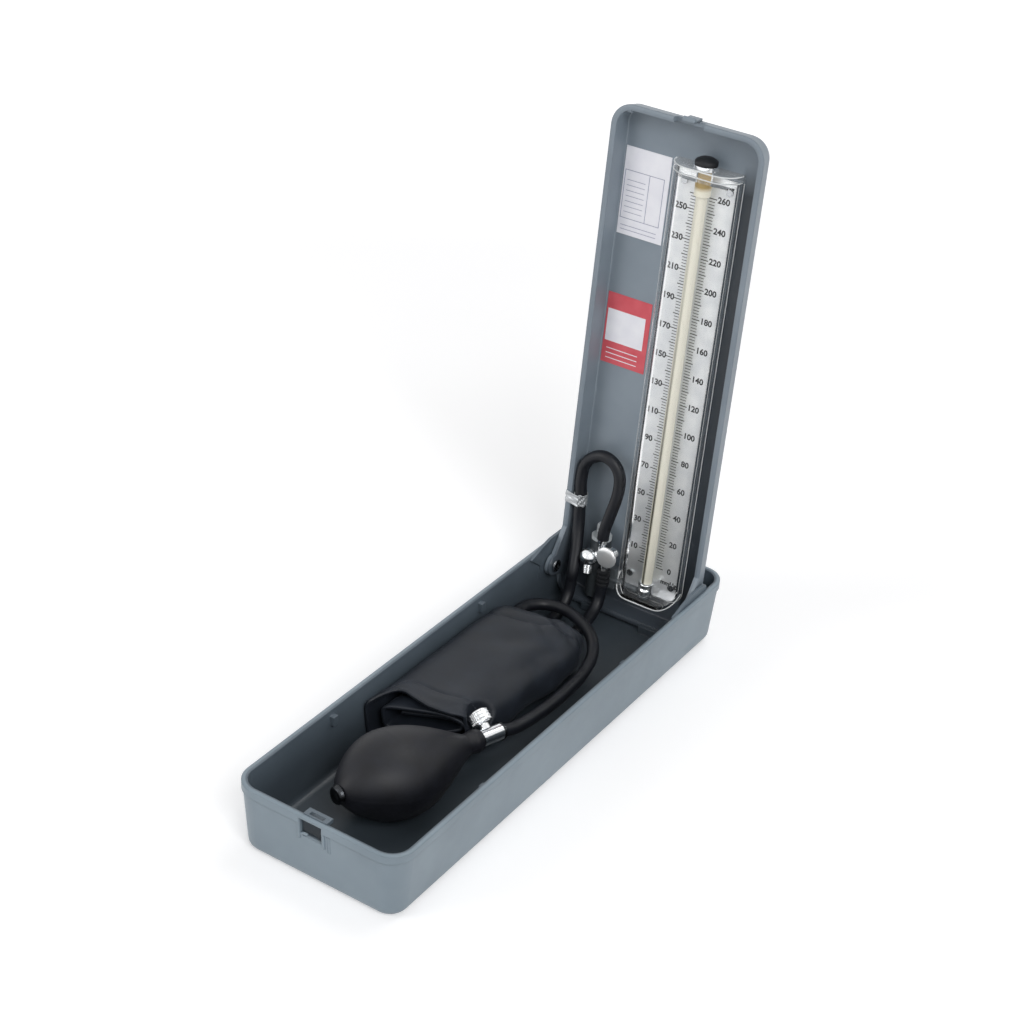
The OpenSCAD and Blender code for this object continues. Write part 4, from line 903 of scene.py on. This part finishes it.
def add_tape():
    """Silver tape: a loop round the hose, then flat over the rim and down its outside, with small folds.
    The loop is a circle of the hose's size; the band is a grid of length along the path by width up the lid."""
    x0, n0, r = -41.3, -13.0, HOSE_D / 2 + 0.45
    loop_a = np.linspace(np.radians(-235), np.radians(80), 40)
    loop = np.stack([x0 + r * np.cos(loop_a), n0 + r * np.sin(loop_a)], -1)
    over_rim = [[-44.5, 0.75], [-47.5, 0.6], [-49.4, 0.55], [-50.5, 0.1],
                [-50.85, -1.2], [-50.9, -3.4], [-50.8, -6.0]]
    line = np.vstack([loop, [[x0 + 0.7, n0 + r + 0.1]], np.array(over_rim) + [0, RIM_N]])
    line = curve_through(np.column_stack([line, np.zeros(len(line))]), 3)[:, :2]
    w = np.linspace(-1, 1, 19)[None]
    k = np.arange(len(line))[:, None]
    fold = 0.22 * np.sin(5.5 * w + 0.35 * k) * (1 - 0.5 * w ** 2) + 0.12 * np.sin(11 * w - 0.5 * k)
    head = unit(np.gradient(line, axis=0))
    x = line[:, :1] - head[:, 1:] * fold
    n = line[:, 1:] + head[:, :1] * fold
    s = TAPE_S + TAPE_HALF_W * w * (1 + 0.05 * np.sin(0.4 * k)) + 0.35 * np.sin(0.3 * k)
    mesh = grid_mesh("tape_band", on_lid(np.stack([x, s, n], -1)), sharp=70)
    thicken(place(mesh, tape_silver, "lid", "tape", "hose_strap"), TAPE_T)


add_tape()

# --- scale: ticks every 2 mmHg on both sides of the tube, numbers every 20 on each side ---
SCALE_ZERO, STEP_2, STEPS = 14.0, 1.89, 130
STEP_20 = 10 * STEP_2
FACE_N = PLATE_N + 0.04
# half the thickness of anything printed
PRINT_T = 0.05
# tick lengths beside a number, at the other tens, and between
RIGHT_TICKS, LEFT_TICKS = (5.0, 4.8, 3.9), (5.2, 4.6, 3.6)


def add_scale():
    """Ticks are thin boxes, numbers are set type; both lie on the plate's face. The right side counts
    0, 20 to 260 and the left side 10, 30 to 250."""
    k = np.arange(0, STEPS + 1)
    s = SCALE_ZERO + STEP_2 * k
    tens = k % 5 == 0
    centres, halves = [], []
    for side, start, numbered, (beside, ten, plain) in ((1, 2.3, k % 10 == 0, RIGHT_TICKS),
                                                        (-1, 6.2, k % 10 == 5, LEFT_TICKS)):
        length = np.where(numbered, beside, np.where(tens, ten, plain))
        centres.append(np.stack([UNIT_X + side * (start + length / 2), s, np.full(len(k), FACE_N)], -1))
        halves.append(np.stack([length / 2, np.where(tens, 0.27, 0.2), np.full(len(k), PRINT_T)], -1))
    ticks = boxes("scale_ticks", np.concatenate(centres), np.concatenate(halves), on_lid)
    place(ticks, print_ink, "lid", "plate")
    words = [(str(20 * i), UNIT_X + 11.8, SCALE_ZERO + STEP_20 * i) for i in range(14)]
    words += [(str(10 + 20 * i), UNIT_X - 15.4, SCALE_ZERO + STEP_20 * (i + 0.5)) for i in range(13)]
    place(lettering("scale_numbers", words, 5.3), print_ink, "lid", "plate")
    units = [("mmHg", UNIT_X + 11.5, SCALE_ZERO + STEPS * STEP_2 + 8.6),
             ("mmHg", UNIT_X + 12.5, SCALE_ZERO - 8.2)]
    place(lettering("scale_units", units, 4.2), print_ink, "lid", "plate")


def lettering(name, words, size):
    """Set type on the plate: each word is centred at its place, made a mesh flat, then laid on the lid."""
    meshes = []
    for word, x, s in words:
        data = bpy.data.curves.new(name, "FONT")
        data.body = word
        data.size = size
        data.extrude = 0.04
        data.offset = 0.17
        data.align_x, data.align_y = "CENTER", "CENTER"
        data.resolution_u = 3
        letters = bpy.data.objects.new(name, data)
        bpy.context.scene.collection.objects.link(letters)
        flat = bpy.data.meshes.new_from_object(letters.evaluated_get(bpy.context.evaluated_depsgraph_get()))
        co = np.empty(len(flat.vertices) * 3, np.float32)
        flat.vertices.foreach_get("co", co)
        co = co.reshape(-1, 3) + [x, s, FACE_N]
        flat.vertices.foreach_set("co", (on_lid(co) * MM).astype(np.float32).ravel())
        meshes.append(flat)
        bpy.data.objects.remove(letters)
        bpy.data.curves.remove(data)
    return joined(name, meshes)


add_scale()

# --- cards: plain, with ruled boxes where the printing was ---
# the cards' left edge, and the lower edges of the white and the red one
CARD_X = -45.5
WHITE_S, RED_S = LID_TOP - 82.9, LID_TOP - 166.9
CARD_N = PANEL_N + 0.34


def ruled(name, rows, finish, slot):
    """Thin flat bars on a card, each given as left, low, width and height from the card's corner."""
    rows = np.asarray(rows, float)
    low, size = rows[:, :2], rows[:, 2:]
    centres = np.column_stack([low + size / 2, np.full(len(rows), CARD_N)])
    halves = np.column_stack([size / 2, np.full(len(rows), PRINT_T)])
    return place(boxes(name, centres, halves, on_lid), finish, "lid", slot)


def outline(x, s, w, h, t=0.35):
    """Four bars round a box."""
    return [(x, s, w, t), (x, s + h - t, w, t), (x, s, t, h), (x + w - t, s, t, h)]


frame_box = outline(CARD_X + 2, WHITE_S + 10, 26.8, 30)
split_box = [(CARD_X + 18.6, WHITE_S + 10, 0.35, 30)]
row_lines = [(CARD_X + 4, WHITE_S + 14 + 3.3 * k, 12.5, 0.3) for k in range(7)]
foot_lines = [(CARD_X + 3, WHITE_S + 3 + 2.6 * k, 24.5, 0.3) for k in range(2)]
ruled("white_card_rules", frame_box + split_box + row_lines + foot_lines, pale_ink, "white_card")
ruled("red_card_field", [(CARD_X + 2.2, RED_S + 14.5, 26.4, 21)], white_paper, "red_card")
ruled("red_card_rules", [(CARD_X + 4, RED_S + 3.2 + 3.2 * k, 22, 0.5) for k in range(3)], white_paper,
      "red_card")


# ---------------------------------------------------------------- case trim
def rim_path(half_x, low, high, corner, gap):
    """A rounded oblong walked clockwise from the middle of its far side, open by `gap` there."""
    turn = np.linspace(0, np.pi / 2, 13)
    cx, top, foot = half_x - corner, high - corner, low + corner
    parts = [np.array([[gap / 2, high]])]
    for start, x, y in ((90, cx, top), (0, cx, foot), (-90, -cx, foot), (180, -cx, top)):
        a = np.radians(start) - turn
        parts.append(np.stack([x + corner * np.cos(a), y + corner * np.sin(a)], -1))
    parts.append(np.array([[-gap / 2, high]]))
    return np.concatenate(parts)


def rim_bead(name, path, height, rise, to_frame, wrap, finish, body, slot):
    """The rolled top edge of a wall: an ellipse of the wall's width carried round the rim."""
    ahead = np.roll(path, -1, 0) - np.roll(path, 1, 0) if wrap else np.gradient(path, axis=0)
    heading = unit(ahead)
    out = np.stack([-heading[:, 1], heading[:, 0]], -1)
    a = np.linspace(0, 2 * np.pi, 20, endpoint=False)
    off = (HALF_WALL + 0.05) * np.cos(a)
    lift = np.broadcast_to(height + rise * np.sin(a), (len(path), 20))
    flat = path[:, None] + out[:, None] * off[None, :, None]
    points = to_frame(np.concatenate([flat, lift[..., None]], -1))
    mesh = grid_mesh(name, points, sharp=60, wrap=True) if wrap else closed_skin(name, points, sharp=60)
    return place(mesh, finish, body, slot)


base_path = rim_path(CASE_W / 2 - HALF_WALL, HALF_WALL - CASE_L / 2, CASE_L / 2 - HALF_WALL,
                     BASE_CORNER - HALF_WALL, 4)
rim_bead("base_rim_bead", base_path, CASE_H - 0.5, 0.95, lambda p: p, True, case_grey, "base", "case_plastic")
lid_path = rim_path(LID_HALF_W - HALF_WALL, LID_TAIL + HALF_WALL, LID_TOP - HALF_WALL,
                    LID_CORNER - HALF_WALL, 20)
rim_bead("lid_rim_bead", lid_path, RIM_N - 0.6, 0.85, on_lid, False, lid_grey, "lid", "lid_plastic")

# the bar of the loop above the latch window
LOOP_BAR_Y = -167.6


def front_face(z):
    """Y of the tray's outer front wall at height z."""
    return -CASE_L / 2 + np.where(z > BAND_LOW, 0.0, wall_lean(z))


def add_latch_trim():
    """Rounded posts beside the window, the thin groove's two lips, the ledge at its left and the loop's bar."""
    parts = []
    for x, r, low, high, steps in ((-9.6, 1.0, 29.5, 43.2, 14), (6.6, 1.0, 29.5, 43.2, 14),
                                   (9.1, 0.4, 28, 39, 12), (10.7, 0.4, 28, 39, 12)):
        z = np.linspace(low, high, steps)
        post = np.stack([np.full(steps, x), front_face(np.minimum(z, BAND_LOW - 0.1)) + 0.1, z], -1)
        parts.append(sweep("post", post, r, (1, 0, 0), 14, uv=False))
    ledge_x = np.linspace(-9.6, -4.2, 9)
    ledge_z = 31.4 + 1.8 * ease((ledge_x + 9.6) / 3.2)
    ledge = np.stack([ledge_x, front_face(ledge_z) + 0.5, ledge_z], -1)
    parts.append(sweep("ledge", ledge, 0.8, (0, 1, 0), 12, uv=False))
    bar = np.stack([np.linspace(-7.6, 7.6, 15), np.full(15, LOOP_BAR_Y), np.full(15, CASE_H + 0.2)], -1)
    parts.append(sweep("bar", bar, 0.8, (0, 0, 1), 14, uv=False))
    place(joined("latch_window_trim", parts), case_grey, "base", "case_plastic")


add_latch_trim()

# ---------------------------------------------------------------- finishes of the carried-over nodes
NODE_FINISH = {
    "base_tray": case_grey, "lid_shell": lid_grey, "latch_hook": lid_grey,
    "hinge_pin_left": steel, "hinge_pin_right": steel, "unit_screws": steel,
    "scale_plate": scale_paint, "glass_tube": glass, "mercury_column": mercury,
    "clear_cover": acrylic, "cover_cap": acrylic_cap, "tube_cap_ring": chrome,
    "top_seal": yellow_seal, "reservoir_body": reservoir_steel, "reservoir_neck": frosted,
    "reservoir_mercury": mercury, "transfer_link": block_grey, "cock_body": chrome,
    "white_card": white_paper, "red_card": red_paper, "inlet_valve_housing": dark_metal,
    "inlet_valve_ball": steel, "release_valve_body": chrome,
}
for node_name, finish in NODE_FINISH.items():
    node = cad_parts[node_name]
    if not node.material_slots:
        node.data.materials.append(finish)
    for node_slot in node.material_slots:
        node_slot.material = finish


# ---------------------------------------------------------------- floor, light and world
def seen_share(tree):
    """1 for rays from the camera, off a mirror or through glass; 0 for the light that falls on things."""
    path = add(tree, "LightPath").outputs
    share = calc(tree, "MAXIMUM", path["Is Camera Ray"], path["Is Glossy Ray"])
    return calc(tree, "MAXIMUM", share, path["Is Transmission Ray"])


FLOOR_HALF = 4000.0
FLOOR_DROP = 0.2
WORLD_LIGHT = 0.34
# what the soft boxes look at, in metres
LOOK_AT = [0, 0.05, 0.1]


def add_floor():
    """A pale studio floor that keeps the shadow. Where it is seen it glows, so that it comes out white, and it
    glows more from 0.7 to 2.4 m away, where low views show it dim."""
    made, tree, out, where = material("pale_studio_paper")
    tone = ramp(tree, noise(tree, where, 400, 2), [(0.4, "#e9e9ea"), (0.6, "#ececed")])
    matt = add(tree, "BsdfDiffuse", {0: tone}).outputs[0]
    far = add(tree, "VectorMath", {0: where}, operation="LENGTH").outputs["Value"]
    lift = calc(tree, "MULTIPLY", seen_share(tree), span(tree, far, 0.7, 2.4, 0.345, 0.8))
    glow = add(tree, "Emission", {0: linear("#ffffff"), 1: lift}).outputs[0]
    both = add(tree, "AddShader", {0: matt, 1: glow}).outputs[0]
    tree.links.new(both, out.inputs[0])
    corners = [(x * FLOOR_HALF, y * FLOOR_HALF, -FLOOR_DROP) for x, y in ((-1, -1), (1, -1), (1, 1), (-1, 1))]
    mesh = mesh_from("studio_floor", corners, [[0, 1, 2, 3]])
    mesh.materials.append(made)
    floor = bpy.data.objects.new("studio_floor", mesh)
    bpy.context.scene.collection.objects.link(floor)


def add_softbox(name, at, size, watts):
    """A square soft box, in metres, that looks at the middle of the case."""
    data = bpy.data.lights.new(name, "AREA")
    data.shape = "SQUARE"
    data.size = size
    data.energy = watts
    lamp = bpy.data.objects.new(name, data)
    back = unit(np.array(at) - LOOK_AT)
    across = unit(np.cross([0, 0, 1], back))
    lamp.matrix_world = standing(across, np.cross(back, across), back, at)
    bpy.context.scene.collection.objects.link(lamp)


def add_world():
    """An even sky: full white where it is seen, and WORLD_LIGHT of that as light."""
    world = bpy.data.worlds.new("studio")
    world.use_nodes = True
    bpy.context.scene.world = world
    tree = world.node_tree
    tree.nodes.clear()
    strength = between(tree, seen_share(tree), WORLD_LIGHT, 1.0)
    sky = add(tree, "Background", {0: linear("#ffffff"), 1: strength})
    add(tree, "OutputWorld", {0: sky.outputs[0]})


add_floor()
add_softbox("key_right_front", (2.6, -1.9, 3.0), 1.8, 82)
add_softbox("fill_left_front", (-2.6, -3.0, 1.9), 2.0, 46)
add_softbox("top_back", (0.4, 2.0, 4.0), 2.4, 40)
add_world()

bpy.context.scene.view_settings.view_transform = "Standard"
